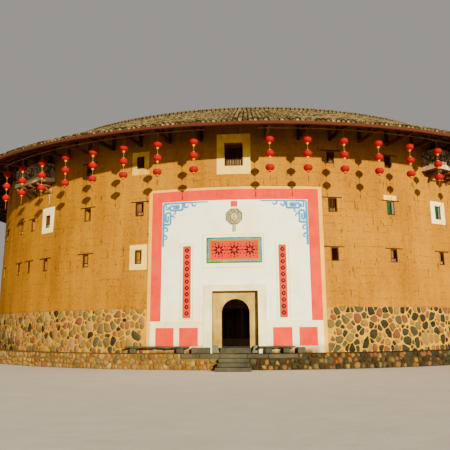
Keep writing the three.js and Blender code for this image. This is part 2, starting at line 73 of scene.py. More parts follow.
class Value:
    """A number socket that Python's operators work on; each adds a Math node."""

    def __init__(self, graph: "Graph", socket: Socket) -> None:
        """Wraps one output socket of a graph."""
        self.graph, self.socket = graph, socket

    def __add__(self, other: "Number") -> "Value":
        """Sum."""
        return self.graph.math("ADD", self, other)

    __radd__ = __add__

    def __sub__(self, other: "Number") -> "Value":
        """Difference."""
        return self.graph.math("SUBTRACT", self, other)

    def __rsub__(self, other: "Number") -> "Value":
        """Difference, the other way round."""
        return self.graph.math("SUBTRACT", other, self)

    def __mul__(self, other: "Number") -> "Value":
        """Product."""
        return self.graph.math("MULTIPLY", self, other)

    __rmul__ = __mul__

    def rise(self, low: float, high: float) -> "Value":
        """Smooth step from 0 at low to 1 at high; the two may be either way round."""
        node = self.graph.node(
            "ShaderNodeMapRange",
            {"interpolation_type": "SMOOTHSTEP"},
            {"Value": self, "From Min": low, "From Max": high},
        )
        return Value(self.graph, node.outputs[0])


Number = Value | float


class Graph:
    """The node tree of one material."""

    def __init__(self, name: str) -> None:
        """Makes the material and keeps its Principled shader.

        Args:
            name: Its name.
        """
        self.material = bpy.data.materials.new(name)
        self.material.use_nodes = True
        self.tree = self.material.node_tree
        self.shader = self.tree.nodes["Principled BSDF"]

    def plug(self, socket: Socket, value: object) -> None:
        """Links or sets one input socket."""
        if isinstance(value, Value):
            value = value.socket
        if isinstance(value, Socket):
            self.tree.links.new(value, socket)
        else:
            socket.default_value = value

    def node(self, kind: str, settings: dict | None = None, values: dict | None = None) -> bpy.types.Node:
        """Adds any node.

        Args:
            kind: The node's type.
            settings: Properties to set first; "stops" fills a colour ramp.
            values: Values or links of its input sockets, by name or number.

        Returns:
            The node.
        """
        node = self.tree.nodes.new(kind)
        for key, value in (settings or {}).items():
            if key == "stops":
                marks = node.color_ramp.elements
                while len(marks) < len(value):
                    marks.new(0.5)
                for mark, (place, colour) in zip(marks, value):
                    mark.position, mark.color = place, linear(colour)
            else:
                setattr(node, key, value)
        for key, value in (values or {}).items():
            self.plug(node.inputs[key], value)
        return node

    def math(self, operation: str, *terms: Number) -> Value:
        """One Math node on the given terms."""
        node = self.node("ShaderNodeMath", {"operation": operation}, dict(enumerate(terms)))
        return Value(self, node.outputs[0])

    def off_middle(self, value: Number) -> Value:
        """How far a repeating number is from the middle of its step, 0 to 0.5."""
        return self.math("ABSOLUTE", self.math("FRACT", value) - 0.5)

    def place(self) -> Socket:
        """Object coordinates."""
        return self.node("ShaderNodeTexCoord").outputs["Object"]

    def attribute(self, name: str, output: str = "Vector") -> Socket:
        """A named attribute of the mesh."""
        return self.node("ShaderNodeAttribute", {"attribute_name": name}).outputs[output]

    def parts(self, vector: Socket) -> tuple[Value, Value, Value]:
        """The three numbers of a vector."""
        node = self.node("ShaderNodeSeparateXYZ", None, {0: vector})
        return tuple(Value(self, socket) for socket in node.outputs)

    def vector(self, *parts: Number) -> Socket:
        """A vector from three numbers."""
        return self.node("ShaderNodeCombineXYZ", None, dict(enumerate(parts))).outputs[0]

    def stretch(self, vector: Socket, by: Triple) -> Socket:
        """A vector multiplied along each axis."""
        node = self.node("ShaderNodeVectorMath", {"operation": "MULTIPLY"}, {0: vector, 1: by})
        return node.outputs[0]

    def noise(self, vector: Socket, scale: float, detail: float = 4, rough: float = 0.55) -> Value:
        """Fractal noise from 0 to 1."""
        values = {"Vector": vector, "Scale": scale, "Detail": detail, "Roughness": rough}
        return Value(self, self.node("ShaderNodeTexNoise", None, values).outputs[0])

    def cells(self, vector: Socket, scale: float) -> Value:
        """Distance to the nearest centre in a field of irregular cells."""
        node = self.node("ShaderNodeTexVoronoi", {"feature": "F1"}, {"Vector": vector, "Scale": scale})
        return Value(self, node.outputs["Distance"])

    def shades(self, value: Number, *stops: tuple[float, str]) -> Socket:
        """A number turned into a colour by a ramp."""
        return self.node("ShaderNodeValToRGB", {"stops": stops}, {0: value}).outputs[0]

    def mix(self, share: Number, low: object, high: object) -> Socket:
        """Mixes two colours, each of them a screen colour or a socket.

        Args:
            share: Share of the second.
            low: The first.
            high: The second.

        Returns:
            The mixed colour.
        """
        low, high = (linear(c) if isinstance(c, str) else c for c in (low, high))
        values = {0: share, 6: low, 7: high}
        return self.node("ShaderNodeMix", {"data_type": "RGBA"}, values).outputs[2]

    def done(self, colour: Socket, rough: float, height: Value, depth: float, **more: object) -> None:
        """Wires the shader, with next to no mirror-like part.

        Args:
            colour: Base colour.
            rough: Roughness.
            height: Relief, in shares of depth.
            depth: Depth of the relief in metres of the model.
            more: Further sockets of the shader, such as Metallic.
        """
        looks = {"Base Color": colour, "Roughness": rough, "Specular IOR Level": GLOSS, **more}
        for name, value in looks.items():
            self.plug(self.shader.inputs[name], value)
        bump = self.node("ShaderNodeBump", None, {"Strength": 1.0, "Distance": depth, "Height": height})
        self.plug(self.shader.inputs["Normal"], bump.outputs[0])


@dataclass(frozen=True)
class Finish:
    """A surface finish. Each kind says in paint() how it looks."""

    name: str

    def paint(self, g: Graph) -> None:
        """Fills the graph."""
        raise NotImplementedError

    def material(self) -> bpy.types.Material:
        """Makes the material, once.

        Returns:
            The material.
        """
        found = bpy.data.materials.get(self.name)
        if found is None:
            graph = Graph(self.name)
            self.paint(graph)
            found = graph.material
        return found


@dataclass(frozen=True)
class Earth(Finish):
    """Rammed earth: lifts of ochre soil with joints, pits, drips and upright cracks, and painted shade at its
    top under the roof.
    """

    dark: str = "7a4800"
    middle: str = "a46a00"
    pale: str = "bc8206"
    lift: float = 0.19
    eave_shade_z: float = 5.62

    def paint(self, g: Graph) -> None:
        """Fills the graph.

        Args:
            g: The material's graph.
        """
        place = g.place()
        _, _, z = g.parts(place)
        patches = g.noise(place, 0.55, 5, 0.6)
        drips = g.noise(g.stretch(place, (3.2, 3.2, 0.28)), 1.0, 6, 0.62)
        soil = g.noise(place, 26, 6, 0.65)
        grit = g.cells(place, 60)
        wander = g.noise(place, 1.7, 3)
        step = z * (1 / self.lift) + wander * 0.5
        joint = g.off_middle(step).rise(0.44, 0.49) * g.noise(place, 5.5, 4).rise(0.46, 0.6)
        crack = g.noise(g.stretch(place, (17, 17, 2.6)), 1.0, 3, 0.6).rise(0.64, 0.69)
        pit = g.cells(place, 7).rise(0.12, 0.06) * g.noise(place, 2.3, 2).rise(0.48, 0.6)
        shade = patches * 0.4 + drips * 0.4 + soil * 0.5 - 0.15
        colour = g.shades(shade, (0.3, self.dark), (0.5, self.middle), (0.72, self.pale))
        weave = g.noise(g.stretch(place, (9, 9, 46)), 1.0, 4, 0.65)
        colour = g.mix(weave.rise(0.54, 0.72) * 0.34, colour, "6a4204")
        colour = g.mix(joint * 0.42, colour, "4c2c06")
        colour = g.mix(crack * 0.55, colour, "3a2206")
        colour = g.mix(pit * 0.8, colour, "281606")
        # Painted shade: the wall is darkened towards its top, under the roof.
        eave_shade = z.rise(self.eave_shade_z - 0.25, self.eave_shade_z + 0.25) * drips.rise(0.2, 0.6)
        colour = g.mix(eave_shade * 0.6, colour, "4a2c16")
        height = soil * 0.5 + grit * 0.15 + drips * 0.5 - joint * 0.5 - crack * 0.9 - pit * 1.2
        g.done(colour, 0.93, height, 0.012)


@dataclass(frozen=True)
class Boulder(Finish):
    """River boulders, each with a tint of its own from the mesh."""

    dim: float = 0.0

    def paint(self, g: Graph) -> None:
        """Fills the graph.

        Args:
            g: The material's graph.
        """
        grain = g.attribute("grain")
        tone = Value(g, g.attribute("tone", "Fac"))
        veins = g.noise(grain, 9, 6, 0.65)
        spots = g.noise(grain, 55, 3, 0.6)
        tint = g.shades(
            tone + (veins - 0.5) * 0.16,
            (0.0, "12181b"), (0.14, "2e3022"), (0.27, "1e1b13"), (0.38, "48452e"), (0.48, "86682a"),
            (0.58, "6e3a26"), (0.66, "5a5434"), (0.76, "7e5a1e"), (0.86, "8a5a3c"), (1.0, "947c40"),
        )
        tint = g.mix(spots.rise(0.45, 0.8) * 0.25, tint, "8c6a2c")
        tint = g.mix(veins.rise(0.6, 0.72) * 0.3, tint, "14120c")
        tint = g.mix(self.dim, tint, "2b241b")
        g.done(tint, 0.72, veins * 0.7 + spots * 0.3, 0.012)


@dataclass(frozen=True)
class Mortar(Finish):
    """Mud mortar or a cobbled earth surface."""

    dark: str = "946404"
    pale: str = "dca018"
    scale: float = 14.0

    def paint(self, g: Graph) -> None:
        """Fills the graph.

        Args:
            g: The material's graph.
        """
        place = g.place()
        lumps = g.noise(place, self.scale, 6, 0.65)
        wide = g.noise(place, 1.1, 4)
        colour = g.shades(lumps * 0.6 + wide * 0.4, (0.3, self.dark), (0.68, self.pale))
        g.done(colour, 0.94, lumps, 0.012)


@dataclass(frozen=True)
class Dressed(Finish):
    """Dressed stone: fine grain, faint tool marks and dirt in the hollows."""

    # These defaults are the worn granite's: partly its own grey-brown, partly painted shade.
    dark: str = "2a281d"
    pale: str = "56503e"
    speck: str = "1a1812"
    stain: float = 0.35
    tooled: float = 0.0

    def paint(self, g: Graph) -> None:
        """Fills the graph.

        Args:
            g: The material's graph.
        """
        place = g.place()
        clouds = g.noise(place, 2.4, 6, 0.62)
        grains = g.noise(place, 85, 4, 0.7)
        marks = g.noise(g.stretch(place, (1, 1, 0.18)), 60, 3)
        colour = g.shades(clouds * 0.75 + grains * 0.25, (0.3, self.dark), (0.66, self.pale))
        colour = g.mix(grains.rise(0.6, 0.75) * 0.5, colour, self.speck)
        colour = g.mix(g.noise(place, 7, 5, 0.7).rise(0.58, 0.75) * self.stain, colour, "3d3a2c")
        chisel = g.noise(g.stretch(place, (30, 30, 1.1)), 1.0, 4, 0.6)
        colour = g.mix(chisel.rise(0.44, 0.66) * self.tooled, colour, self.dark)
        g.done(colour, 0.82, grains * 0.35 + marks * 0.3 + clouds * 0.35, 0.008)


@dataclass(frozen=True)
class Plaster(Finish):
    """Lime plaster or wash with weathering and drips, darker at its foot: partly splashed mud, partly painted
    shade.
    """

    pale: str = "fffde2"
    worn: str = "f2d47c"
    mud: str = "6a4208"
    foot: float = 0.36
    wear: float = 0.5
    rain: float = 0.35

    def paint(self, g: Graph) -> None:
        """Fills the graph.

        Args:
            g: The material's graph.
        """
        place = g.place()
        _, _, z = g.parts(place)
        clouds = g.noise(place, 1.3, 6, 0.66)
        drips = g.noise(g.stretch(place, (7, 7, 0.5)), 1.0, 5, 0.6)
        fine = g.noise(place, 48, 5, 0.65)
        colour = g.mix(clouds.rise(0.42, 0.72) * self.wear, self.pale, self.worn)
        colour = g.mix(drips.rise(0.55, 0.8) * self.rain, colour, self.worn)
        # Partly painted shade: the foot is darkened towards the mud colour, partly real splashed mud.
        low = z.rise(self.foot + 0.3, self.foot)
        colour = g.mix(low * clouds.rise(0.2, 0.5), colour, self.mud)
        colour = g.mix(fine.rise(0.62, 0.8) * 0.18, colour, "b9a27a")
        g.done(colour, 0.86, fine * 0.5 + clouds * 0.7, 0.006)


@dataclass(frozen=True)
class Roughcast(Finish):
    """Pebbly plaster: pale lumps between dark, weathered hollows."""

    pale: str = "ccbca0"
    middle: str = "8c7a64"
    dark: str = "3c3026"

    def paint(self, g: Graph) -> None:
        """Fills the graph.

        Args:
            g: The material's graph.
        """
        place = g.place()
        lumps = g.cells(place, 15)
        small = g.noise(place, 30, 5, 0.7)
        stain = g.noise(g.stretch(place, (1.5, 1.5, 0.6)), 1.6, 5, 0.6)
        shade = lumps * -0.5 + small * 0.6 + stain * 0.5 + 0.12
        colour = g.shades(shade, (0.3, self.dark), (0.46, self.middle), (0.68, self.pale))
        g.done(colour, 0.92, small * 0.6 - lumps * 0.6, 0.014)


@dataclass(frozen=True)
class Wash(Finish):
    """Red wash over plaster, faded in clouds and rubbed at its edges."""

    deep: str = "d62f12"
    faded: str = "e24f2a"
    grime: str = "bd2614"

    def paint(self, g: Graph) -> None:
        """Fills the graph.

        Args:
            g: The material's graph.
        """
        place = g.place()
        clouds = g.noise(place, 1.9, 6, 0.68)
        brush = g.noise(g.stretch(place, (9, 9, 1.6)), 2.0, 4, 0.6)
        fine = g.noise(place, 60, 4)
        shade = clouds * 0.7 + brush * 0.3
        colour = g.shades(shade, (0.3, self.grime), (0.46, self.deep), (0.72, self.faded))
        colour = g.mix(fine.rise(0.66, 0.78) * 0.3, colour, "f2c9ae")
        g.done(colour, 0.84, fine * 0.5 + brush * 0.5, 0.004)


@dataclass(frozen=True)
class Timber(Finish):
    """Weathered wood with its grain along each piece."""

    dark: str = "2f1d12"
    middle: str = "5a3a24"
    pale: str = "8a6240"
    rough: float = 0.78

    def paint(self, g: Graph) -> None:
        """Fills the graph.

        Args:
            g: The material's graph.
        """
        grain = g.attribute("grain")
        tone = Value(g, g.attribute("tone", "Fac"))
        rings = g.noise(g.stretch(grain, (1.4, 34, 34)), 1.0, 6, 0.65)
        fibres = g.noise(g.stretch(grain, (5, 160, 160)), 1.0, 3)
        weather = g.noise(grain, 2.2, 4)
        shade = rings * 0.5 + fibres * 0.15 + weather * 0.35 + (tone - 0.5) * 0.22
        colour = g.shades(shade, (0.3, self.dark), (0.5, self.middle), (0.74, self.pale))
        g.done(colour, self.rough, rings * 0.6 + fibres * 0.4, 0.005)


@dataclass(frozen=True)
class BoardedRing(Finish):
    """Boards set side by side round the ring, upright or laid towards the axis."""

    dark: str = "33211a"
    middle: str = "5d4232"
    pale: str = "8b6a50"
    board: float = 0.11
    radius: float = 7.3

    def paint(self, g: Graph) -> None:
        """Fills the graph.

        Args:
            g: The material's graph.
        """
        x, y, z = g.parts(g.place())
        turn = g.math("ARCTAN2", x, y) * (self.radius / self.board)
        index = g.math("FLOOR", turn)
        away = g.off_middle(turn)
        own = Value(g, g.node("ShaderNodeTexWhiteNoise", {"noise_dimensions": "1D"}, {"W": index}).outputs[0])
        grain = g.noise(g.vector(turn * 6, z * 1.1 + own * 20, own * 9), 1.0, 6, 0.65)
        gap = away.rise(0.46, 0.495)
        shade = grain * 0.6 + own * 0.3
        colour = g.shades(shade, (0.2, self.dark), (0.45, self.middle), (0.75, self.pale))
        colour = g.mix(gap * 0.85, colour, "160e0a")
        g.done(colour, 0.8, grain * 0.35 - gap * 1.0, 0.008)


@dataclass(frozen=True)
class RoofTile(Finish):
    """Grey clay tiles, each fired its own shade, with moss and lichen, and painted shade in the grooves and
    along each course's upper end.
    """

    def paint(self, g: Graph) -> None:
        """Fills the graph.

        Args:
            g: The material's graph.
        """
        count = g.attribute("grain")
        across, up, _ = g.parts(count)
        index = g.vector(g.math("FLOOR", across * 2 + 0.5), g.math("FLOOR", up), 0.0)
        own = Value(g, g.node("ShaderNodeTexWhiteNoise", None, {"Vector": index}).outputs[0])
        place = g.place()
        moss = g.noise(place, 3.1, 6, 0.68)
        fine = g.noise(place, 42, 5, 0.65)
        colour = g.shades(
            own * 0.65 + fine * 0.35,
            (0.12, "241d12"), (0.35, "483a24"), (0.55, "665436"), (0.75, "8c764c"), (0.95, "8a6636"),
        )
        colour = g.mix(moss.rise(0.5, 0.68) * 0.4, colour, "60582a")
        colour = g.mix(fine.rise(0.62, 0.78) * 0.3, colour, "a8925a")
        # Painted shade: a dark line at each course's upper end, under the next course's raised butt.
        butt = g.math("FRACT", up).rise(0.9, 1.0)
        colour = g.mix(butt * 0.55, colour, "1d1811")
        # Painted shade: the grooves between the cover tiles are darkened almost to black.
        colour = g.mix(g.off_middle(across).rise(0.24, 0.06) * 0.92, colour, "0b0805")
        g.done(colour, 0.88, fine * 0.6 + moss * 0.4, 0.008)


@dataclass(frozen=True)
class Paint(Finish):
    """Painted wood or metal with brush marks, a little fading and chips."""

    colour: str = "b3222a"
    faded: str = "c9544a"
    chip: str = "5b4030"
    rough: float = 0.55
    metal: float = 0.0
    chips: float = 0.6

    def paint(self, g: Graph) -> None:
        """Fills the graph.

        Args:
            g: The material's graph.
        """
        place = g.place()
        clouds = g.noise(place, 5.5, 5, 0.62)
        fine = g.noise(place, 120, 4)
        worn = g.noise(place, 26, 5, 0.7).rise(0.66, 0.72) * self.chips
        colour = g.mix(clouds.rise(0.35, 0.75), self.colour, self.faded)
        colour = g.mix(worn, colour, self.chip)
        g.done(colour, self.rough, fine * 0.6 - worn * 0.6, 0.003, Metallic=self.metal)


@dataclass(frozen=True)
class LanternCloth(Finish):
    """Thin red cloth over ribs with a painted glow: lighter towards the top, and a faint emission though
    there is no lamp inside.
    """

    colour: str = "8a0000"
    painted_glow: str = "b40600"

    def paint(self, g: Graph) -> None:
        """Fills the graph.

        Args:
            g: The material's graph.
        """
        grain = g.attribute("grain")
        _, _, z = g.parts(grain)
        weave = g.noise(g.stretch(grain, (1, 1, 6)), 90, 3)
        # Painted light: the cloth is mixed towards its glow colour towards the top.
        colour = g.mix(z.rise(-0.04, 0.06) * 0.45 + weave * 0.15, self.colour, self.painted_glow)
        # Painted glow: a faint emission in the cloth's own colour.
        g.done(colour, 0.7, weave, 0.002, **{"Emission Color": colour, "Emission Strength": 0.1})


EARTH = Earth("rammed earth")
MORTAR = Mortar("mud mortar")
BOULDER = Boulder("river boulders")
RUBBLE = Boulder("terrace rubble", 0.05)
PAVING = Mortar("terrace paving", "5c4628", "8d6f42", 9.0)
# Dark joints of the right half: partly the joints' own dark colour, partly painted shade.
JOINTS = Mortar("terrace joints", "20170c", "4a3312", 16.0)
DUSTY_JOINTS = Mortar("dusty terrace joints", "4a3410", "8a6420", 16.0)
# Darker than the lit stone: partly the granite's own grey-brown, partly painted shade.
GRANITE = Dressed("worn granite")
SANDSTONE = Dressed("tan door stone", "8a6820", "cca850", "5a4418", 0.3, 0.3)
PALE_GRANITE = Dressed("pale door granite", "48483c", "7e7c68", "26261e")
RENDER = Dressed("stone render of the surround", "e0cb84", "fff4c6", "b39c58", 0.06)
WHITE = Plaster("white plaster")
CREAM = Plaster("cream dado", "fdf0c0", "e4c468", "6a4208", 0.36, 0.7, 0.5)
EDGE = Plaster("ochre plaster edge", "e8ae34", "cf8a16", "c07c0c", 0.36, 0.6, 0.3)
PATCH = Plaster("lime window patches", "fff0b4", "e2b650", "cc8a1c", -9.0, 0.8, 0.7)
OLD_PATCH = Plaster("old lime patches", "f0c858", "c48e1c", "b07810", -9.0, 1.0, 0.9)
LOOKOUT_WASH = Roughcast("weathered lookout wash")
MOULDING = Plaster("cream mouldings", "f0d88c", "d9b357", "c98614", 0.36, 0.6, 0.3)
FASCIA = Timber("eave edge board", "260f06", "4c2414", "7c442c", 0.8)
# Near-black boards under the eaves: partly old dark wood, partly painted shade.
SHADED_SOFFIT = BoardedRing("roof boards", "080504", "120b07", "20140d")
BEAM = Timber("old eave timber", "1e0f08", "42220f", "74462a", 0.8)
LOOKOUT_FOOT = Plaster("pale lookout strip", "dcc494", "8a6a3c", "684624", -9.0, 1.0, 0.8)
LIME = Plaster("lime drips", "e0c890", "b48c40", "c9a86c", -9.0, 1.0, 0.9)
SALMON = Wash("salmon wash")
RED_BOARD = Wash("red board", "c42612", "d0402a", "a81c10")
WOOD = Timber("weathered fir")
DARK_WOOD = Timber("dark oiled boards", "1a110b", "38241a", "5a3d2a", 0.6)
EAVE_WOOD = Timber("eave board", "42200f", "703c22", "98603c", 0.8)
FRAME_WOOD = Timber("window wood", "261204", "4a280c", "7c4c20", 0.7)
PANEL = Timber("board behind the bars", "5a3610", "86581e", "b08038", 0.75)
GREY_WOOD = Timber("grey painted wood", "3a4040", "5c6460", "7c8478", 0.8)
LINTEL = Timber("smoked lintels", "150c06", "2c1a0e", "543820", 0.85)
PALE_WOOD = Timber("bleached wood", "6a5238", "9c7c55", "c2a077", 0.85)
BOARDS = BoardedRing("room front boards")
FLOORBOARDS = BoardedRing("gallery floorboards", "3a2b1f", "66503a", "917354", 0.1, 8.0)
TILE = RoofTile("clay tiles")
GREEN = Paint("green frame", "1c6a1e", "58943a", "4c5a28")
BLUE = Paint("blue scrolls", "2478b4", "4e9cca", "dfe9ea", 0.6, 0.0, 0.1)
YELLOW = Paint("yellow bead", "967000", "a67c00", "7c5a10", 0.6, 0.0, 0.2)
INK = Paint("dark rosettes", "0f0c0a", "1e1914", "5a2c20", 0.6, 0.0, 0.1)
SHUTTER = Paint("green shutters", "0c3612", "1c4c1e", "20160e")
IRON = Paint("iron", "2a2725", "4a3d33", "6b4326", 0.5, 0.8)
GOLD = Paint("gold trim", "c97a06", "e8a21c", "8a5406", 0.45, 0.2, 0.2)
TASSEL = Paint("tassel", "6a220c", "9c4a22", "4a180c", 0.7, 0.0, 0.0)
CORD = Paint("lantern cord", "8b5a34", "b48352", "5a3820", 0.8)
CLOTH = LanternCloth("lantern cloth")
CARVED = Timber("carved wood", "9a8c5c", "b4a674", "ccc092", 0.75)


# The ring's sizes


@dataclass(frozen=True)
class Plan:
    """Sizes of the ring, in full-size millimetres and degrees."""

    bays: int = 35
    wall_r: float = 19000.0
    batter: float = 0.022
    wall_inner_r: float = 17700.0
    ledge: float = 100.0
    ledge_rise: float = 40.0
    apron_r: float = 20150.0
    eave_r: float = 21820.0
    ridge_r: float = 16500.0
    court_eave_r: float = 11800.0
    gallery_r: float = 12950.0
    room_front_r: float = 14600.0
    terrace_z: float = 720.0
    stone_top_z: float = 2900.0
    door_top_z: float = 3720.0
    floor_tops: tuple[float, ...] = (4200.0, 6800.0, 9250.0)
    floor_t: float = 180.0
    eave_under_z: float = 11280.0
    roof_t: float = 220.0
    tile_half: float = 60.0
    roof_slope: float = 0.466
    ridge_top_z: float = 14160.0
    split: float = 17.35
    gap: float = 0.6

    @property
    def deck(self) -> float:
        """Height of the tiles' bed over the underside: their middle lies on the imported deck."""
        return self.roof_t - self.tile_half

    @property
    def pitch(self) -> float:
        """Degrees from one window column to the next."""
        return 360.0 / self.bays

    def face(self, z: Array | float) -> Array:
        """Radius of the outer face: it leans in by the batter above the terrace."""
        return self.wall_r - self.batter * np.maximum(0.0, np.asarray(z, float) - self.terrace_z)

    def under(self, r: Array | float) -> Array:
        """Height of the roof's underside: a straight slope from each eave to the ridge."""
        drop = np.where(r > self.ridge_r, self.eave_r - r, self.eave_r - 2 * self.ridge_r + r)
        return self.eave_under_z + self.roof_slope * drop

    def inner(self, z: Array | float) -> Array:
        """Radius of the room face: it steps out by a ledge at each floor."""
        rises = [(z - top + self.floor_t) / self.ledge_rise + 1 for top in self.floor_tops]
        return self.wall_inner_r + self.ledge * sum(np.clip(rise, 0, 1) for rise in rises)


PLAN = Plan()
SECTORS = {"right": (1, 12), "rear": (12, 23), "left": (23, 34)}
HALVES = {"right": (0.0, PLAN.split), "left": (PLAN.split, float(PLAN.bays))}
SIDES = (("left", -1), ("right", 1))
LEAST_HEIGHT = 4.0
AROUND = 2 * np.pi * PLAN.wall_r


def circle(steps: int) -> Array:
    """Even steps round a circle, in radians."""
    return 2 * np.pi * np.arange(steps) / steps


def xyz(*parts: Array | float) -> Array:
    """Points from their coordinates, any of which may be one number for all."""
    return np.stack(np.broadcast_arrays(*parts), -1)


def ring_point(angle: Array, r: Array | float, z: Array | float) -> Array:
    """Points at plan angles in degrees, radii and heights: (r sin a, -r cos a, z)."""
    a = np.radians(angle)
    return xyz(r * np.sin(a), -r * np.cos(a), z)


def swung(local: Array, angle: Array | float) -> Array:
    """Points of a frame whose -Y looks out, turned to a plan angle in radians."""
    x, y, z = np.moveaxis(local, -1, 0)
    return xyz(x * np.cos(angle) - y * np.sin(angle), x * np.sin(angle) + y * np.cos(angle), z)


def at(radius: Radius, angle: Array, z: Array) -> Array | float:
    """A radius at plan angles and heights, be it one number or a function of them."""
    return radius(angle, z) if callable(radius) else radius


def proud(lift: float) -> Radius:
    """The radius of a surface that stands out from the wall's face by the lift."""
    return lambda angle, z: PLAN.face(z) + lift


# Mesh making


def signed_volume(points: Array, faces: Sequence[Array]) -> float:
    """Six times the volume inside closed faces: the sum of their triangles' triple products.

    Args:
        points: Points of the shell.
        faces: Arrays of point numbers, one row to a face.

    Returns:
        The sum, below zero when the faces point inwards.
    """
    total = 0.0
    for block in faces:
        first = points[block[:, 0]]
        for i in range(1, block.shape[1] - 1):
            normals = np.cross(points[block[:, i]], points[block[:, i + 1]])
            total += float(np.einsum("ij,ij->", first, normals))
    return total


def grid_faces(rows: int, columns: int, wrap_rows: bool = False, wrap: bool = False) -> Array:
    """Quads of a grid of points stored row by row.

    Args:
        rows: Number of rows of points.
        columns: Number of points in a row.
        wrap_rows: Whether the last row joins the first.
        wrap: Whether the last point of a row joins its first.

    Returns:
        Four point numbers for each quad.
    """
    i = np.arange(rows if wrap_rows else rows - 1)[:, None]
    j = np.arange(columns if wrap else columns - 1)[None, :]
    below, beside = (i + 1) % rows, (j + 1) % columns
    quads = [i * columns + j, i * columns + beside, below * columns + beside, below * columns + j]
    return xyz(*quads).reshape(-1, 4)


def repeated(faces: Array, copies: int, size: int) -> Array:
    """The faces of one template for each of its copies."""
    return (faces[None] + (np.arange(copies) * size)[:, None, None]).reshape(-1, faces.shape[1])


def linked(name: str, data: bpy.types.ID) -> bpy.types.Object:
    """Puts a new object into the scene.

    Args:
        name: Its name.
        data: Its mesh, light or camera.

    Returns:
        The object.
    """
    obj = bpy.data.objects.new(name, data)
    bpy.context.scene.collection.objects.link(obj)
    return obj


class Piece:
    """Closed shells gathered for one piece of the house."""

    def __init__(self, name: str, slot: str, *finishes: Finish) -> None:
        """Starts an empty piece.

        Args:
            name: Name of its object.
            slot: Stored with the piece; not used.
            finishes: Its finishes, which are picked by number.
        """
        self.name, self.slot, self.finishes = name, slot, finishes
        self.points: list[Array] = []
        self.faces: list[list[int]] = []
        self.paints: list[Array] = []
        self.grain: list[Array] = []
        self.tone: list[Array] = []
        self.count = 0

    def add(
        self, points: Array, faces: Sequence[Array], paint: int = 0,
        grain: Array | None = None, tone: Array | None = None,
    ) -> None:
        """Adds closed shells and turns their faces outwards.

        Args:
            points: Points in full-size millimetres.
            faces: Arrays of point numbers, one row to a face.
            paint: Which of the piece's finishes they take.
            grain: The pattern's own coordinates at each point.
            tone: A shade from 0 to 1 at each point.
        """
        points = np.asarray(points, float).reshape(-1, 3)
        flip = signed_volume(points, faces) < 0
        for block in faces:
            block = block[:, ::-1] if flip else block
            self.faces.extend((block + self.count).tolist())
            self.paints.append(np.full(len(block), paint))
        self.points.append(points)
        self.grain.append(points * MM if grain is None else np.asarray(grain, float).reshape(-1, 3))
        self.tone.append(np.full(len(points), 0.5) if tone is None else np.asarray(tone, float).reshape(-1))
        self.count += len(points)

    def finish(
        self, replaces: Sequence[str] = (), body: str = "house", sharp: float = 32.0, merge: bool = False,
    ) -> None:
        """Makes the object, at the origin.

        Args:
            replaces: CAD nodes that it stands for.
            body: Body that it rides on.
            sharp: Angle in degrees past which an edge stays sharp.
            merge: Whether points that fall together are joined.
        """
        mesh = bpy.data.meshes.new(self.name)
        mesh.from_pydata((np.concatenate(self.points) * MM).tolist(), [], self.faces)
        for name, kind, key in (("grain", "FLOAT_VECTOR", "vector"), ("tone", "FLOAT", "value")):
            values = np.concatenate(getattr(self, name)).astype(np.float32).ravel()
            mesh.attributes.new(name, kind, "POINT").data.foreach_set(key, values)
        mesh.polygons.foreach_set("material_index", np.concatenate(self.paints).astype(np.int32))
        if merge:
            work = bmesh.new()
            work.from_mesh(mesh)
            bmesh.ops.remove_doubles(work, verts=work.verts, dist=2e-5)
            work.to_mesh(mesh)
            work.free()
        mesh.shade_smooth()
        mesh.set_sharp_from_angle(angle=math.radians(sharp))
        mesh.update()
        obj = linked(self.name, mesh)
        for finish in self.finishes:
            mesh.materials.append(finish.material())
        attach(obj, body)
        if replaces:
            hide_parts(*replaces)
        log.info("%s: %d triangles", self.name, sum(len(face) - 2 for face in self.faces))


def _block_template() -> tuple[Array, Array, Array, Array]:
    """A block with its twelve edges chamfered.

    Its eight corners are numbered by the sum of 4, 2 and 1 for the far side along X, Y and Z, and each
    has three points, one on each of its sides.

    Returns:
        The points' signs, flags of the side that each lies on, quads and triangles.
    """
    signs = np.array([[x, y, z] for x in (-1, 1) for y in (-1, 1) for z in (-1, 1)], float)
    corners = np.repeat(signs, 3, 0)
    flags = np.tile(np.eye(3), (8, 1))
    shape = corners * (1 - 0.2 * (1 - flags))
    quads, triangles = [], [[3 * c, 3 * c + 1, 3 * c + 2] for c in range(8)]
    for axis in range(3):
        u, v = (k for k in range(3) if k != axis)
        for side in (0, 4 >> axis):
            turns = (0, 4 >> u, (4 >> u) + (4 >> v), 4 >> v)
            quads.append([3 * (side + turn) + axis for turn in turns])
        for a in (0, 4 >> u):
            for b in (0, 4 >> v):
                low, high = 3 * (a + b), 3 * (a + b + (4 >> axis))
                quads.append([low + u, high + u, high + v, low + v])

    def outwards(face: list[int]) -> list[int]:
        """The face, turned to point away from the middle."""
        p = shape[face]
        return face if np.dot(np.cross(p[1] - p[0], p[2] - p[1]), p.mean(0)) > 0 else face[::-1]

    return corners, flags, *(np.array([outwards(face) for face in faces]) for faces in (quads, triangles))


CORNERS, FLAGS, BLOCK_QUADS, BLOCK_TRIANGLES = _block_template()


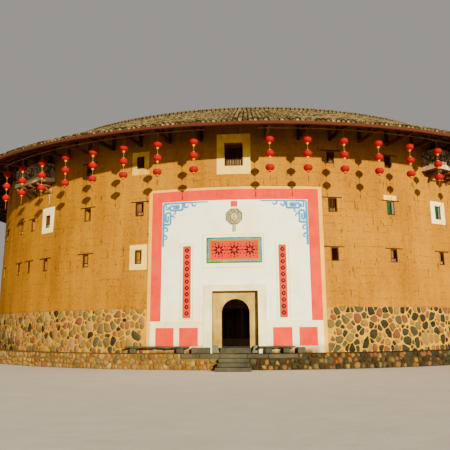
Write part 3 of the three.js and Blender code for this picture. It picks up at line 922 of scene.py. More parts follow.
def blocks(
    piece: Piece, angle: Array | float, centre: Array, size: Array, chamfer: float = 8.0,
    tilt: Array | float = 0.0, turn: Array | float = 0.0, paint: int = 0, seed: int = 0,
) -> None:
    """Adds squared timbers or stones with chamfered edges.

    Each is a box of the given size, turned about its own Y and X axes, moved to its centre in a frame
    whose -Y looks out, and swung round the plan.

    Args:
        piece: Piece that takes them.
        angle: Plan angle of each, in degrees.
        centre: Centre of each in its own frame.
        size: Length of each along X, Y and Z of its own frame.
        chamfer: Width of the chamfer.
        tilt: Turn about the local X axis, in degrees.
        turn: Turn about the local Y axis, in degrees.
        paint: Finish that they take.
        seed: Seed of each block's own shade and grain.
    """
    centre, size = (np.atleast_2d(np.asarray(v, float)) for v in (centre, size))
    n = max(len(centre), len(size), np.size(angle), np.size(tilt), np.size(turn))
    centre, size = (np.broadcast_to(v, (n, 3)) for v in (centre, size))
    angle, tilt, turn = (np.radians(np.broadcast_to(v, (n,)))[:, None] for v in (angle, tilt, turn))
    inset = np.minimum(chamfer, 0.28 * size.min(1))[:, None, None]
    local = CORNERS[None] * (size[:, None, :] / 2 - inset * (1 - FLAGS[None]))
    rng = np.random.default_rng(seed + 17)
    order = np.argsort(-size, axis=1)[:, None, :]
    grain = np.take_along_axis(local, np.broadcast_to(order, local.shape), 2) * MM
    grain = grain + rng.uniform(0, 40, (n, 1, 3))
    tone = np.broadcast_to(rng.uniform(0, 1, (n, 1)), (n, len(CORNERS)))
    x, y, z = np.moveaxis(local, -1, 0)
    x, z = x * np.cos(turn) + z * np.sin(turn), z * np.cos(turn) - x * np.sin(turn)
    y, z = y * np.cos(tilt) - z * np.sin(tilt), y * np.sin(tilt) + z * np.cos(tilt)
    points = swung(xyz(x, y, z) + centre[:, None, :], angle)
    faces = [repeated(template, n, len(CORNERS)) for template in (BLOCK_QUADS, BLOCK_TRIANGLES)]
    piece.add(points, faces, paint, grain, tone)


def pierced(
    piece: Piece, angles: Array, heights: Array, outer: Radius, inner: Radius,
    whole: Array | None = None, paint: int = 0, inner_top: float | None = None,
) -> None:
    """Adds a curved wall between two radii, with some of its cells left open.

    Args:
        piece: Piece that takes it.
        angles: Upright grid lines, in degrees.
        heights: Level grid lines.
        outer: Outer radius.
        inner: Inner radius.
        whole: Which cells are solid, one row to a gap between angles; all where none is given.
        paint: Finish that it takes.
        inner_top: Height of the last line on the inner face, where it differs.
    """
    rows, columns = len(angles), len(heights)
    whole = np.ones((rows - 1, columns - 1), bool) if whole is None else whole
    a, front, back = angles[:, None], heights[None, :], heights[None, :].copy()
    if inner_top is not None:
        back[0, -1] = inner_top
    points = [ring_point(a, at(outer, a, front), front), ring_point(a, at(inner, a, back), back)]
    points = np.concatenate([side.reshape(-1, 3) for side in points])
    o = np.arange(rows * columns).reshape(rows, columns)
    n = o + o.size
    padded = np.zeros((rows + 1, columns + 1), bool)
    padded[1:-1, 1:-1] = whole
    i, j = np.nonzero(whole)
    faces = [xyz(o[i, j], o[i + 1, j], o[i + 1, j + 1], o[i, j + 1])]
    faces.append(xyz(n[i, j], n[i, j + 1], n[i + 1, j + 1], n[i + 1, j]))
    before, after = padded[:-1, 1:-1], padded[1:, 1:-1]
    for pick, sign in ((before & ~after, 1), (after & ~before, -1)):
        i, j = np.nonzero(pick)
        faces.append(xyz(o[i, j], n[i, j], n[i, j + 1], o[i, j + 1])[:, ::sign])
    below, above = padded[1:-1, :-1], padded[1:-1, 1:]
    for pick, sign in ((below & ~above, 1), (above & ~below, -1)):
        i, j = np.nonzero(pick)
        faces.append(xyz(o[i, j], o[i + 1, j], n[i + 1, j], n[i, j])[:, ::sign])
    used = np.unique(np.concatenate([f.ravel() for f in faces]))
    number = np.full(len(points), -1)
    number[used] = np.arange(len(used))
    piece.add(points[used], [number[f] for f in faces], paint)


def lines_between(low: float, high: float, spacing: float, fixed: Sequence[float] = ()) -> Array:
    """Grid lines in even steps from each fixed line to the next.

    Args:
        low: First line.
        high: Last line.
        spacing: Step to come near to.
        fixed: Further lines to keep.

    Returns:
        The lines in order.
    """
    kept = sorted({low, high, *(f for f in fixed if low < f < high)})
    runs = []
    for a, b in zip(kept, kept[1:]):
        runs.append(np.linspace(a, b, max(2, int(round((b - a) / spacing)) + 1))[:-1])
    return np.concatenate([*runs, [high]])


def solid_cells(across: Array, heights: Array, holes: Sequence[Hole]) -> Array:
    """Finds the solid cells of a grid: those whose middles lie in no hole.

    Args:
        across: Grid lines along the wall.
        heights: Level grid lines.
        holes: Rectangles left open.

    Returns:
        Whether each cell is solid, one row to a gap along the wall.
    """
    x, z = (across[1:] + across[:-1]) / 2, (heights[1:] + heights[:-1]) / 2
    whole = np.ones((len(x), len(z)), bool)
    for x0, x1, z0, z1 in holes:
        whole &= ~(((x > x0) & (x < x1))[:, None] & ((z > z0) & (z < z1))[None, :])
    return whole


def plate(
    piece: Piece, x: Span, z: Span, lift: Span, holes: Sequence[Hole] = (), paint: int = 0,
    spacing: float = 260.0,
) -> None:
    """Adds a layer on the wall's face: distances along the wall, heights and lifts from the face.

    Args:
        piece: Piece that takes it.
        x: Where it starts and ends along the wall, from the gate's middle.
        z: Its lowest and highest level.
        lift: Distance of its back and its front from the wall's face.
        holes: Rectangles left open.
        paint: Finish that it takes.
        spacing: Size of its cells.
    """
    along = lines_between(*x, spacing, [v for hole in holes for v in hole[:2]])
    heights = lines_between(*z, spacing * 1.6, [v for hole in holes for v in hole[2:]])
    whole = solid_cells(along, heights, holes)
    pierced(piece, np.degrees(along / PLAN.wall_r), heights, proud(lift[1]), proud(lift[0]), whole, paint)


def frame_of(piece: Piece, x: Span, z: Span, width: float, lift: Span, paint: int) -> None:
    """Adds a rectangular frame of the given width on the wall's face."""
    plate(piece, x, z, lift, [(x[0] + width, x[1] - width, z[0] + width, z[1] - width)], paint)


def sheet(piece: Piece, half: float, z: Span, lift: Span, hole: Span | None = None, paint: int = 0) -> None:
    """Adds a plate centred on the gate.

    Args:
        piece: Piece that takes it.
        half: Half its width.
        z: Its lowest and highest level.
        lift: Distance of its back and its front from the wall's face.
        hole: Half the width and the top of a hole that is open below.
        paint: Finish that it takes.
    """
    plate(piece, (-half, half), z, lift, [(-hole[0], hole[0], z[0] - 1, hole[1])] if hole else [], paint)


def domes(
    piece: Piece, s: Array | float, z: Array | float, outline: Array, rise: Array | float, sink: float,
    radius: Radius, paint: int = 0, tone: Array | None = None, power: float = 3.0,
    ring_shares: Sequence[float] = (0.5, 0.84, 1.0), seed: int = 0, lean: float = 0.0,
) -> None:
    """Adds rounded lumps on a round wall.

    A point at share t of the way from a lump's centre to its outline stands out by
    rise times one minus t to the given power, less the sink. The crest of each may lie
    to one side: a share of the reach times t (1 - t) is added towards a way of its own.
    No point goes below the ground.

    Args:
        piece: Piece that takes them.
        s: Distance of each along the wall.
        z: Height of each.
        outline: Reach in equal steps of direction, one row to a lump or one for all.
        rise: Height of each over its rim.
        sink: How far its rim lies under the given radius.
        radius: Radius of the wall.
        paint: Finish that they take.
        tone: Shade of each.
        power: How flat the tops are.
        ring_shares: Shares of the way out that get a ring of points, two or more.
        seed: Seed of each lump's own grain.
        lean: Greatest shift of the crests.
    """
    rng = np.random.default_rng(seed)
    s, z = (np.atleast_1d(v) for v in np.broadcast_arrays(s, z))
    n, m = len(s), np.shape(outline)[-1]
    outline, direction = np.broadcast_to(outline, (n, m)), circle(m)
    t = np.asarray(ring_shares)[None, :, None]
    reach = outline[:, None, :] * t
    along = s[:, None, None] + reach * np.cos(direction)
    height = np.maximum(z[:, None, None] + reach * np.sin(direction), LEAST_HEIGHT)
    rise = np.broadcast_to(np.asarray(rise, float), (n,))
    side = np.cos(direction - rng.uniform(0, 2 * np.pi, (n, 1, 1))) * rng.uniform(0, lean, (n, 1, 1))
    lift = rise[:, None, None] * (1 - t**power) - sink + reach * (1 - t) * side
    rings = ring_point(np.degrees(along / PLAN.wall_r), at(radius, along, height) + lift, height)
    tops = ring_point(np.degrees(s / PLAN.wall_r), at(radius, s, z) + rise - sink, z)
    points = np.concatenate([tops[:, None, :], rings.reshape(n, -1, 3)], 1)
    size = points.shape[1]
    k = np.arange(m)
    fan = xyz(0, 1 + k, 1 + (k + 1) % m)
    walls = 1 + grid_faces(len(ring_shares), m, wrap=True)[:, ::-1]
    back = 1 + (len(ring_shares) - 1) * m + k[::-1]
    grain = (points - points[:, :1]) * MM + rng.uniform(0, 60, (n, 1, 3))
    tones = np.broadcast_to((rng.uniform(0, 1, n) if tone is None else tone)[:, None], (n, size))
    faces = [repeated(template, n, size) for template in (fan, walls, back[None])]
    piece.add(points, faces, paint, grain, tones)


def hewn(
    piece: Piece, angle: float, low: Sequence[float], high: Sequence[float], cell: float = 110.0,
    corner: float = 22.0, rough: float = 6.0, seed: int = 0, paint: int = 0,
    shape: Callable[[Array], Array] | None = None,
) -> None:
    """Adds a hewn stone: a box with rounded edges and an uneven face.

    A point of the box goes to the nearest point of a smaller box plus the corner radius towards where
    it was, and then out or in by a sum of sines of its place.

    Args:
        piece: Piece that takes it.
        angle: Plan angle of its frame.
        low: Lowest corner in that frame.
        high: Highest corner.
        cell: Size of its cells.
        corner: Radius of its edges.
        rough: Depth of its unevenness.
        seed: Seed of the unevenness.
        paint: Finish that it takes.
        shape: Further change to the points in the frame.
    """
    low, high = np.asarray(low, float), np.asarray(high, float)
    centre, half = (low + high) / 2, (high - low) / 2
    corner = min(corner, 0.45 * half.min())
    inner = [sign * (half - share * corner) for sign in (-1, 1) for share in (1.0, 0.4)]
    lines = [lines_between(-h, h, cell, fixed) for h, fixed in zip(half, np.transpose(inner))]
    rng = np.random.default_rng(seed + 5)
    waves, shifts = rng.uniform(-0.011, 0.011, (6, 3)), rng.uniform(0, 6.3, 6)
    tone = rng.uniform(0, 1)
    count = 0
    sides, faces = [], []
    for axis in range(3):
        u, v = (k for k in range(3) if k != axis)
        for side in (-1, 1):
            p = np.zeros((len(lines[u]), len(lines[v]), 3))
            p[..., u], p[..., v], p[..., axis] = lines[u][:, None], lines[v][None, :], side * half[axis]
            quads = grid_faces(*p.shape[:2])
            outwards = side * (-1 if axis == 1 else 1) > 0
            sides.append(p.reshape(-1, 3))
            faces.append((quads if outwards else quads[:, ::-1]) + count)
            count += p.shape[0] * p.shape[1]
    p = np.concatenate(sides)
    core = np.clip(p, -(half - corner), half - corner)
    way = p - core
    way = way / np.maximum(np.linalg.norm(way, axis=1, keepdims=True), 1e-9)
    bumps = np.sin(p @ waves.T + shifts).sum(1, keepdims=True) / 3
    p = core + way * (corner - rough + rough * bumps) + centre
    if shape is not None:
        p = shape(p)
    world = swung(p, math.radians(angle))
    piece.add(world, faces, paint, world * MM + 7 * seed, np.full(len(world), tone))


def turnings(
    piece: Piece, centres: Array, profile: Array, sides: int, ribs: float = 0.0, paint: int = 0,
    seed: int = 0,
) -> None:
    """Adds turned forms: a profile of radius and height carried round an upright axis.

    Args:
        piece: Piece that takes them.
        centres: Foot of each axis.
        profile: Radius and height, from the lower end to the upper.
        sides: Points round the axis.
        ribs: Share by which every other point is drawn in.
        paint: Finish that they take.
        seed: Seed of each one's own shade.
    """
    k = np.arange(sides)
    theta = circle(sides)
    r = profile[:, :1] * (1 - ribs * (k % 2))
    template = xyz(r * np.cos(theta), r * np.sin(theta), profile[:, 1:]).reshape(-1, 3)
    caps = [k[::-1][None], ((len(profile) - 1) * sides + k)[None]]
    shell = [grid_faces(len(profile), sides, wrap=True), *caps]
    n, size = len(centres), len(template)
    points = centres[:, None, :] + template[None]
    grain = np.broadcast_to(template * MM, points.shape)
    tone = np.broadcast_to(np.random.default_rng(seed).uniform(0, 1, (n, 1)), (n, size))
    piece.add(points, [repeated(f, n, size) for f in shell], paint, grain, tone)


def ribbon(piece: Piece, path: Array, width: float, lift: float, height: float, taper: float = 0.0) -> None:
    """Adds a raised line on the wall: a half-round profile carried along a path of distance and height.

    Args:
        piece: Piece that takes it.
        path: Corner points as distance along the wall and height; each corner becomes a short curve.
        width: Width of the line.
        lift: Distance of its back from the wall's face.
        height: How far its crest stands out.
        taper: Share of the width lost by the far end.
    """
    corner, step = path[1:-1], np.diff(path, axis=0)
    long = np.linalg.norm(step, axis=1, keepdims=True)
    reach = np.minimum(85.0, 0.45 * np.minimum(long[:-1], long[1:]))
    before, after = corner - step[:-1] / long[:-1] * reach, corner + step[1:] / long[1:] * reach
    t = np.linspace(0, 1, 5)[None, :, None]
    curves = (1 - t) ** 2 * before[:, None] + 2 * t * (1 - t) * corner[:, None] + t**2 * after[:, None]
    path = np.concatenate([path[:1], curves.reshape(-1, 2), path[-1:]])
    ways = np.linalg.norm(np.diff(path, axis=0), axis=1)
    far = np.concatenate([[0.0], np.cumsum(ways)])
    even = np.unique(np.concatenate([far, np.arange(0.0, far[-1], 140.0)]))
    path = xyz(*(np.interp(even, far, path[:, k]) for k in (0, 1)))
    way = np.gradient(path, axis=0)
    way /= np.maximum(np.linalg.norm(way, axis=1, keepdims=True), 1e-9)
    side = xyz(-way[:, 1], way[:, 0])
    across = np.array([-1.0, -0.75, 0.0, 0.75, 1.0, 0.0])
    out = np.array([0.0, 0.8, 1.0, 0.8, 0.0, -0.2])
    share = 1 - taper * np.linspace(0, 1, len(path)) ** 2
    flat = path[:, None, :] + side[:, None, :] * (across[None, :, None] * width / 2 * share[:, None, None])
    radius = PLAN.face(flat[..., 1]) + lift + height * out[None, :]
    points = ring_point(np.degrees(flat[..., 0] / PLAN.wall_r), radius, flat[..., 1])
    m = len(across)
    ends = [np.arange(m)[::-1][None], ((len(path) - 1) * m + np.arange(m))[None]]
    piece.add(points, [grid_faces(len(path), m, wrap=True), *ends])


# Windows


class Look(Enum):
    """How a window is filled."""

    BARRED = "upright bars over a low row of balusters"
    BOARDED = "bars before a board"
    SHUTTERED = "a green shutter"
    OPEN = "a bare frame"


@dataclass(frozen=True)
class Window:
    """One hole in the outer wall."""

    angle: float
    half_w: float
    sill: float
    head: float
    look: Look = Look.BARRED
    patch: Triple | None = None


ROWS = ((210.0, 5190.0, 5890.0), (250.0, 7710.0, 8450.0), (225.0, 10280.0, 10960.0))
LOOKOUTS = {"front_left": -39.3, "front_right": 37.8}
LOOKOUTS |= {"rear_right": 14.5 * PLAN.pitch, "rear_left": -14.5 * PLAN.pitch}
PATCHES = {
    (2, 33): (270.0, 330.0, 240.0), (0, 33): (290.0, 300.0, 310.0), (1, 31): (320.0, 310.0, 450.0),
    (1, 3): (325.0, 250.0, 260.0),
}


def house_windows() -> list[Window]:
    """Lists the holes in the outer wall: three rows, one over the gate and the extra two.

    Returns:
        The windows.
    """
    taken = [int(((a % 360) / PLAN.pitch) + 0.001) for a in LOOKOUTS.values()]
    found = [Window(0.0, 485.0, 10110.0, 11300.0, Look.BARRED, (400.0, 430.0, 530.0))]
    looks = (Look.BARRED, Look.BOARDED, Look.BARRED, Look.OPEN, Look.BOARDED)
    for row, (half_w, sill, head) in enumerate(ROWS):
        for bay in range(1, PLAN.bays - 1):
            if row == 2 and bay in taken:
                continue
            look = Look.SHUTTERED if (row, bay) in ((1, 2), (1, 3)) else looks[(3 * bay + 2 * row) % 5]
            found.append(Window((bay + 0.5) * PLAN.pitch, half_w, sill, head, look, PATCHES.get((row, bay))))
    found.append(Window(360 - 41.8, 150.0, 5190.0, 5890.0, Look.OPEN))
    found.append(Window(360 - 41.2, 250.0, 7710.0, 8450.0, Look.OPEN))
    return found


WINDOWS = house_windows()


@dataclass
class EarthWalls:
    """The ring of rammed earth over the stone base, with its windows."""

    spacing: float = 1.03
    least_gap: float = 0.05
    course: float = 420.0
    uneven: float = 7.0
    lookout_door: Triple = (400.0, 10490.0, 11400.0)

    def outer(self, a: Array, z: Array) -> Array:
        """Outer radius: the leaning face plus three long, shallow sines of angle and height.

        Args:
            a: Plan angles in degrees.
            z: Heights.

        Returns:
            The radius at each.
        """
        t = np.radians(a)
        waves = np.sin(31 * t + z / 900) + 0.7 * np.sin(53 * t - z / 610 + 1) + 0.5 * np.sin(97 * t + z / 330)
        return PLAN.face(z) + self.uneven * waves

    def holes(self, start: float, end: float) -> list[Hole]:
        """Finds the windows and the lookouts' doorways of a sector.

        Args:
            start: First angle.
            end: Last angle.

        Returns:
            Two angles and two heights for each.
        """
        found = []
        for w in [*(Window(a % 360, *self.lookout_door) for a in LOOKOUTS.values()), *WINDOWS]:
            reach = math.degrees(math.asin(w.half_w / PLAN.wall_r))
            for a in (w.angle, w.angle - 360.0):
                if start < a - reach and a + reach < end:
                    found.append((a - reach, a + reach, w.sill, w.head))
        return found

    def sector(self, name: str, start: float, end: float, bottom: float, node: str) -> None:
        """Builds one sector, up to where the leaning face meets the roof's underside.

        Args:
            name: Name of the piece.
            start: First angle.
            end: Last angle.
            bottom: Level of its foot.
            node: CAD node that it stands for.
        """
        holes = self.holes(start, end)
        angles = lines_between(start, end, self.spacing, [v for hole in holes for v in hole[:2]])
        angles = angles[np.concatenate([[True], np.diff(angles) > self.least_gap])]
        drop = PLAN.eave_r - PLAN.wall_r - PLAN.batter * PLAN.terrace_z
        top = (PLAN.eave_under_z + PLAN.roof_slope * drop) / (1 - PLAN.roof_slope * PLAN.batter)
        ledges = [t - PLAN.floor_t - d for t in PLAN.floor_tops for d in (PLAN.ledge_rise, 0.0)]
        fixed = {v for hole in holes for v in hole[2:]} | set(ledges)
        heights = lines_between(bottom, top, self.course, fixed)
        whole = solid_cells(angles, heights, holes)
        inner_top = PLAN.under(PLAN.wall_inner_r + 3 * PLAN.ledge) - PLAN.gap
        piece = Piece(name, "rammed_earth", EARTH)
        pierced(piece, angles, heights, self.outer, lambda a, z: PLAN.inner(z), whole, inner_top=inner_top)
        piece.finish([node])

    def build(self) -> None:
        """Builds the three sectors and the wall over the gate."""
        foot = PLAN.stone_top_z + PLAN.gap
        for side, (start, end) in SECTORS.items():
            self.sector(f"earth_{side}", start * PLAN.pitch, end * PLAN.pitch, foot, f"earth_wall_{side}")
        self.sector("earth_over_gate", -PLAN.pitch, PLAN.pitch, PLAN.door_top_z + PLAN.gap, "gate_wall_over")


@dataclass
class Cobbles:
    """Stones laid over a band of wall: one to a cell of a grid, moved, weighed and grown to the next."""

    columns: int
    rows: int
    directions: int
    band: Span
    border: Span
    drift: Span
    weights: Span
    contrast: float
    sizes: Span
    joint: float
    uneven: Span
    sharpness: float

    def outlines(self, s: Array, z: Array, weight: Array) -> Array:
        """Rounded outlines of the cells that belong to scattered sites on a ring.

        In a direction, a cell ends at the least of its share of the distance to each neighbour over the
        cosine of the angle to it; the share is by weight. The least is softened by a power mean, which
        rounds the cell's corners.

        Args:
            s: Distance of each site along the ring, in rows and columns.
            z: Height of each site.
            weight: Size of each beside its neighbours.

        Returns:
            Reach of each cell in each direction.
        """
        direction = circle(self.directions)
        total = np.zeros((*s.shape, self.directions))

        def closer(ds: Array | float, dz: Array, reach: Array) -> None:
            """Adds one neighbour's part to the sum: which way it lies, and how far its border is."""
            part = np.cos(direction - np.arctan2(dz, ds)[..., None]) / (reach + 1e-6)[..., None]
            total[:] += np.maximum(part, 0) ** self.sharpness

        row = np.arange(self.rows)
        for up in range(-2, 3):
            for along in range(-2, 3):
                if up == 0 and along == 0:
                    continue
                near = np.clip(row + up, 0, self.rows - 1)
                ds, dz, other = (np.roll(v, -along, 1)[near] for v in (s, z, weight))
                ds = (ds - s + AROUND / 2) % AROUND - AROUND / 2
                reach = np.hypot(ds, dz - z) * (weight / (weight + other))
                closer(ds, dz - z, np.where((near == row + up)[:, None], reach, np.inf))
        for border in self.border:
            closer(0.0, border - z, np.abs(border - z))
        return total ** (-1 / self.sharpness)

    def lay(self, rng: np.random.Generator) -> tuple[Array, Array, Array]:
        """Lays the stones.

        Args:
            rng: Where the draws come from.

        Returns:
            Distance along the wall, height and outline of each.
        """
        wide, tall = AROUND / self.columns, (self.band[1] - self.band[0]) / self.rows
        row = np.arange(self.rows)[:, None]
        s = (np.arange(self.columns) + 0.5 * (row % 2)) * wide
        z = self.band[0] + (row + 0.5) * tall + np.zeros(self.columns)
        s = s + rng.uniform(-self.drift[0], self.drift[0], s.shape) * wide
        z = z + rng.uniform(-self.drift[1], self.drift[1], z.shape) * tall
        weight = rng.uniform(*self.weights, s.shape) ** self.contrast + 0.12
        outline = self.outlines(s, z, weight) * rng.uniform(*self.sizes, (*s.shape, 1)) - self.joint
        outline = outline * (1 + rng.uniform(*self.uneven, outline.shape))
        return s.ravel(), z.ravel(), outline.reshape(-1, self.directions)


@dataclass
class StoneBase(Cobbles):
    """The base of boulders set in mud mortar."""

    columns: int = 390
    rows: int = 6
    directions: int = 11
    band: Span = (PLAN.terrace_z - 60, PLAN.stone_top_z + 40)
    border: Span = (PLAN.terrace_z - 60, PLAN.stone_top_z + 40)
    drift: Span = (0.42, 0.42)
    weights: Span = (0.3, 1.25)
    contrast: float = 1.5
    sizes: Span = (0.92, 1.04)
    joint: float = 11.0
    uneven: Span = (-0.1, 0.1)
    sharpness: float = 15.0
    sink: float = 26.0
    gate_edge: float = 13.75

    def build(self) -> None:
        """Builds the three sectors. The boulders on the right are darker: partly their own darker stone,
        partly painted shadow.
        """
        rng = np.random.default_rng(41)
        s, z, outline = self.lay(rng)
        outline = np.maximum(outline, 30)
        # Partly painted shadow: the right half draws darker tints than the left.
        tone = np.where(s % AROUND < AROUND / 2, rng.uniform(0, 0.62, s.shape), rng.uniform(0.22, 1, s.shape))
        angle = np.degrees(s / PLAN.wall_r) % 360
        rise = np.clip(outline.mean(1) * 0.34, 30, 70)
        for side, (start, end) in SECTORS.items():
            a0, a1 = start * PLAN.pitch, end * PLAN.pitch
            piece = Piece(f"boulders_{side}", "cobbles", MORTAR, BOULDER)
            heights = np.array([0.0, PLAN.terrace_z, 1500.0, 2200.0, PLAN.stone_top_z])
            pierced(piece, lines_between(a0, a1, 1.2), heights, proud(-self.sink), PLAN.wall_inner_r)
            inside = (angle > max(a0, self.gate_edge) + 0.2) & (angle < min(a1, 360 - self.gate_edge) - 0.2)
            domes(
                piece, s[inside], z[inside], outline[inside], rise[inside], self.sink + 8, proud(0), 1,
                tone[inside], 3.6, seed=3, lean=0.5)
            piece.finish([f"stone_base_{side}"], sharp=34)


@dataclass
class Terrace(Cobbles):
    """The raised walk round the house, faced with rubble, and its dressed ledge at the gate."""

    columns: int = 540
    rows: int = 3
    directions: int = 8
    band: Span = (0.0, PLAN.terrace_z)
    border: Span = (-30.0, PLAN.terrace_z + 20)
    drift: Span = (0.35, 0.3)
    weights: Span = (0.35, 1.3)
    contrast: float = 1.3
    sizes: Span = (0.94, 1.06)
    joint: float = 3.0
    uneven: Span = (-0.16, 0.12)
    sharpness: float = 14.0
    ledge_top: float = 726.0
    ledge_h: float = 190.0
    ledge_edges: tuple[float, ...] = (-7.3, -4.6, -1.9, 1.7, 4.5, 8.4)

    def build(self) -> None:
        """Builds the two halves and the ledge. The stones and joints on the right are darker: partly their
        own colour, partly painted shadow.
        """
        rng = np.random.default_rng(7)
        s, z, outline = self.lay(rng)
        outline = np.minimum(outline, np.minimum(z, PLAN.terrace_z - z)[:, None] / 0.92 + 24)
        angle = np.degrees(s / PLAN.wall_r) % 360
        # Partly painted shadow: the right half takes darker joints and darker stone tints.
        looks = {"right": (JOINTS, (0.0, 0.66)), "left": (DUSTY_JOINTS, (0.38, 1.0))}
        for side, (start, end) in HALVES.items():
            a0, a1 = start * PLAN.pitch, end * PLAN.pitch
            joints, tones = looks[side]
            piece = Piece(f"terrace_{side}", "cobbles", joints, RUBBLE)
            angles = lines_between(a0 + 0.001, a1 - 0.001, 1.0)
            heights = np.array([0.0, PLAN.terrace_z / 2, PLAN.terrace_z])
            pierced(piece, angles, heights, PLAN.apron_r - 70, PLAN.wall_r + PLAN.gap - 30)
            inside = (angle > a0 + 0.3) & (angle < a1 - 0.3)
            inside &= ~((z > 470) & ((angle < 8.6) | (angle > 352.6)))
            n = int(inside.sum())
            rise, tone = rng.uniform(40, 105, n), np.random.default_rng(19).uniform(*tones, n)
            domes(
                piece, s[inside], z[inside], outline[inside], rise, 78, PLAN.apron_r - 5, 1, tone, 4.0,
                seed=11, lean=0.9)
            piece.finish([f"apron_{side}"], sharp=26)
        ledge = Piece("terrace_ledge", "granite", GRANITE)
        for k, (a, b) in enumerate(zip(self.ledge_edges, self.ledge_edges[1:])):
            half = math.radians(b - a) / 2 * PLAN.apron_r - 6
            low = [-half, -PLAN.apron_r - 6, self.ledge_top - self.ledge_h]
            hewn(ledge, (a + b) / 2, low, [half, -PLAN.apron_r + 330, self.ledge_top], 150, 20, 5, k)
        ledge.finish(merge=True)


@dataclass
class GateSteps:
    """Steps, benches, end blocks and guard stones before the gate."""

    half_widths: tuple[float, ...] = (825.0, 740.0, 700.0)
    tread: float = 300.0
    guard_x: Span = (752.0, 1124.0)
    guard_y: Span = (-18885.0, -18621.0)
    guard_z: Span = (720.6, 1090.0)

    def build(self) -> None:
        """Builds each stone."""
        rise = PLAN.terrace_z / 4
        for k, half in enumerate(self.half_widths):
            piece = Piece(f"step_{k + 1}", "granite", GRANITE)
            low = [-half, -PLAN.apron_r - self.tread * (3 - k), rise * k]
            hewn(piece, 0, low, [half, -PLAN.apron_r + 16, rise * (k + 1)], 90, 18, 5, 20 + k)
            piece.finish([f"gate_step_{k + 1}"], merge=True)
        self.bench("left", -11.6, 3300.0)
        self.block("left", -4.9, 900.0)
        self.bench("right", 6.0, 1700.0)
        self.block("right", 9.4, 400.0)
        for side, sign in SIDES:
            self.guard(side, sign)

    def block(self, side: str, angle: float, length: float) -> None:
        """Builds a low stone block.

        Args:
            side: Side of the gate.
            angle: Plan angle of its middle.
            length: Its length.
        """
        piece = Piece(f"stone_block_{side}", "granite", GRANITE)
        y, z = -PLAN.wall_r - 100, PLAN.terrace_z
        hewn(piece, angle, [-length / 2, y - 320, z], [length / 2, y, z + 290], 80, 34, 9, int(length))
        piece.finish([f"end_block_{side}"], merge=True)

    def bench(self, side: str, angle: float, length: float) -> None:
        """Builds a stone bench: a rough slab on two blocks.

        Args:
            side: Side of the gate.
            angle: Plan angle of its middle.
            length: Length of the slab.
        """
        back, half, z = -PLAN.wall_r - 90, length / 2, PLAN.terrace_z
        piece = Piece(f"stone_bench_{side}", "granite", GRANITE)

        def broken(p: Array) -> Array:
            """Breaks the slab's lower edge: two sines of the length move it up and down."""
            waves = 16 * np.sin(p[:, 0] / 130.0) + 10 * np.sin(p[:, 0] / 57.0)
            return xyz(p[:, 0], p[:, 1], p[:, 2] + np.where(p[:, 2] < z + 290, waves, 0))

        hewn(piece, angle, [-half, back - 380, z + 250], [half, back, z + 345], 70, 26, 7, 31, 0, broken)
        for k in (-1, 1):
            x = k * (half - 420)
            hewn(piece, angle, [x - 180, back - 340, z], [x + 180, back - 40, z + 262], 70, 60, 16, 33 + k)
        piece.finish([f"bench_{side}"], merge=True)

    def guard(self, side: str, sign: int) -> None:
        """Builds a guard stone: its side towards the doorway leans out and curls at the foot.

        Args:
            side: Side of the gate.
            sign: Below zero on the left.
        """
        (near, far), (foot, top) = self.guard_x, self.guard_z
        x0, x1 = sorted((sign * near, sign * far))

        def leaning(p: Array) -> Array:
            """Draws the doorway side back by the root of the height."""
            share = np.clip((p[:, 2] - foot) / (top - foot), 0, 1)
            return p + xyz(sign * (far - np.abs(p[:, 0])) / (far - near) * 130 * np.sqrt(share), 0, 0)

        piece = Piece(f"guard_{side}", "granite", PALE_GRANITE)
        low, high = zip((x0, x1), self.guard_y, self.guard_z)
        hewn(piece, 0, low, high, 60, 30, 5, 40 + sign, 0, leaning)
        piece.finish([f"guard_stone_{side}"], merge=True)


# The gate's face


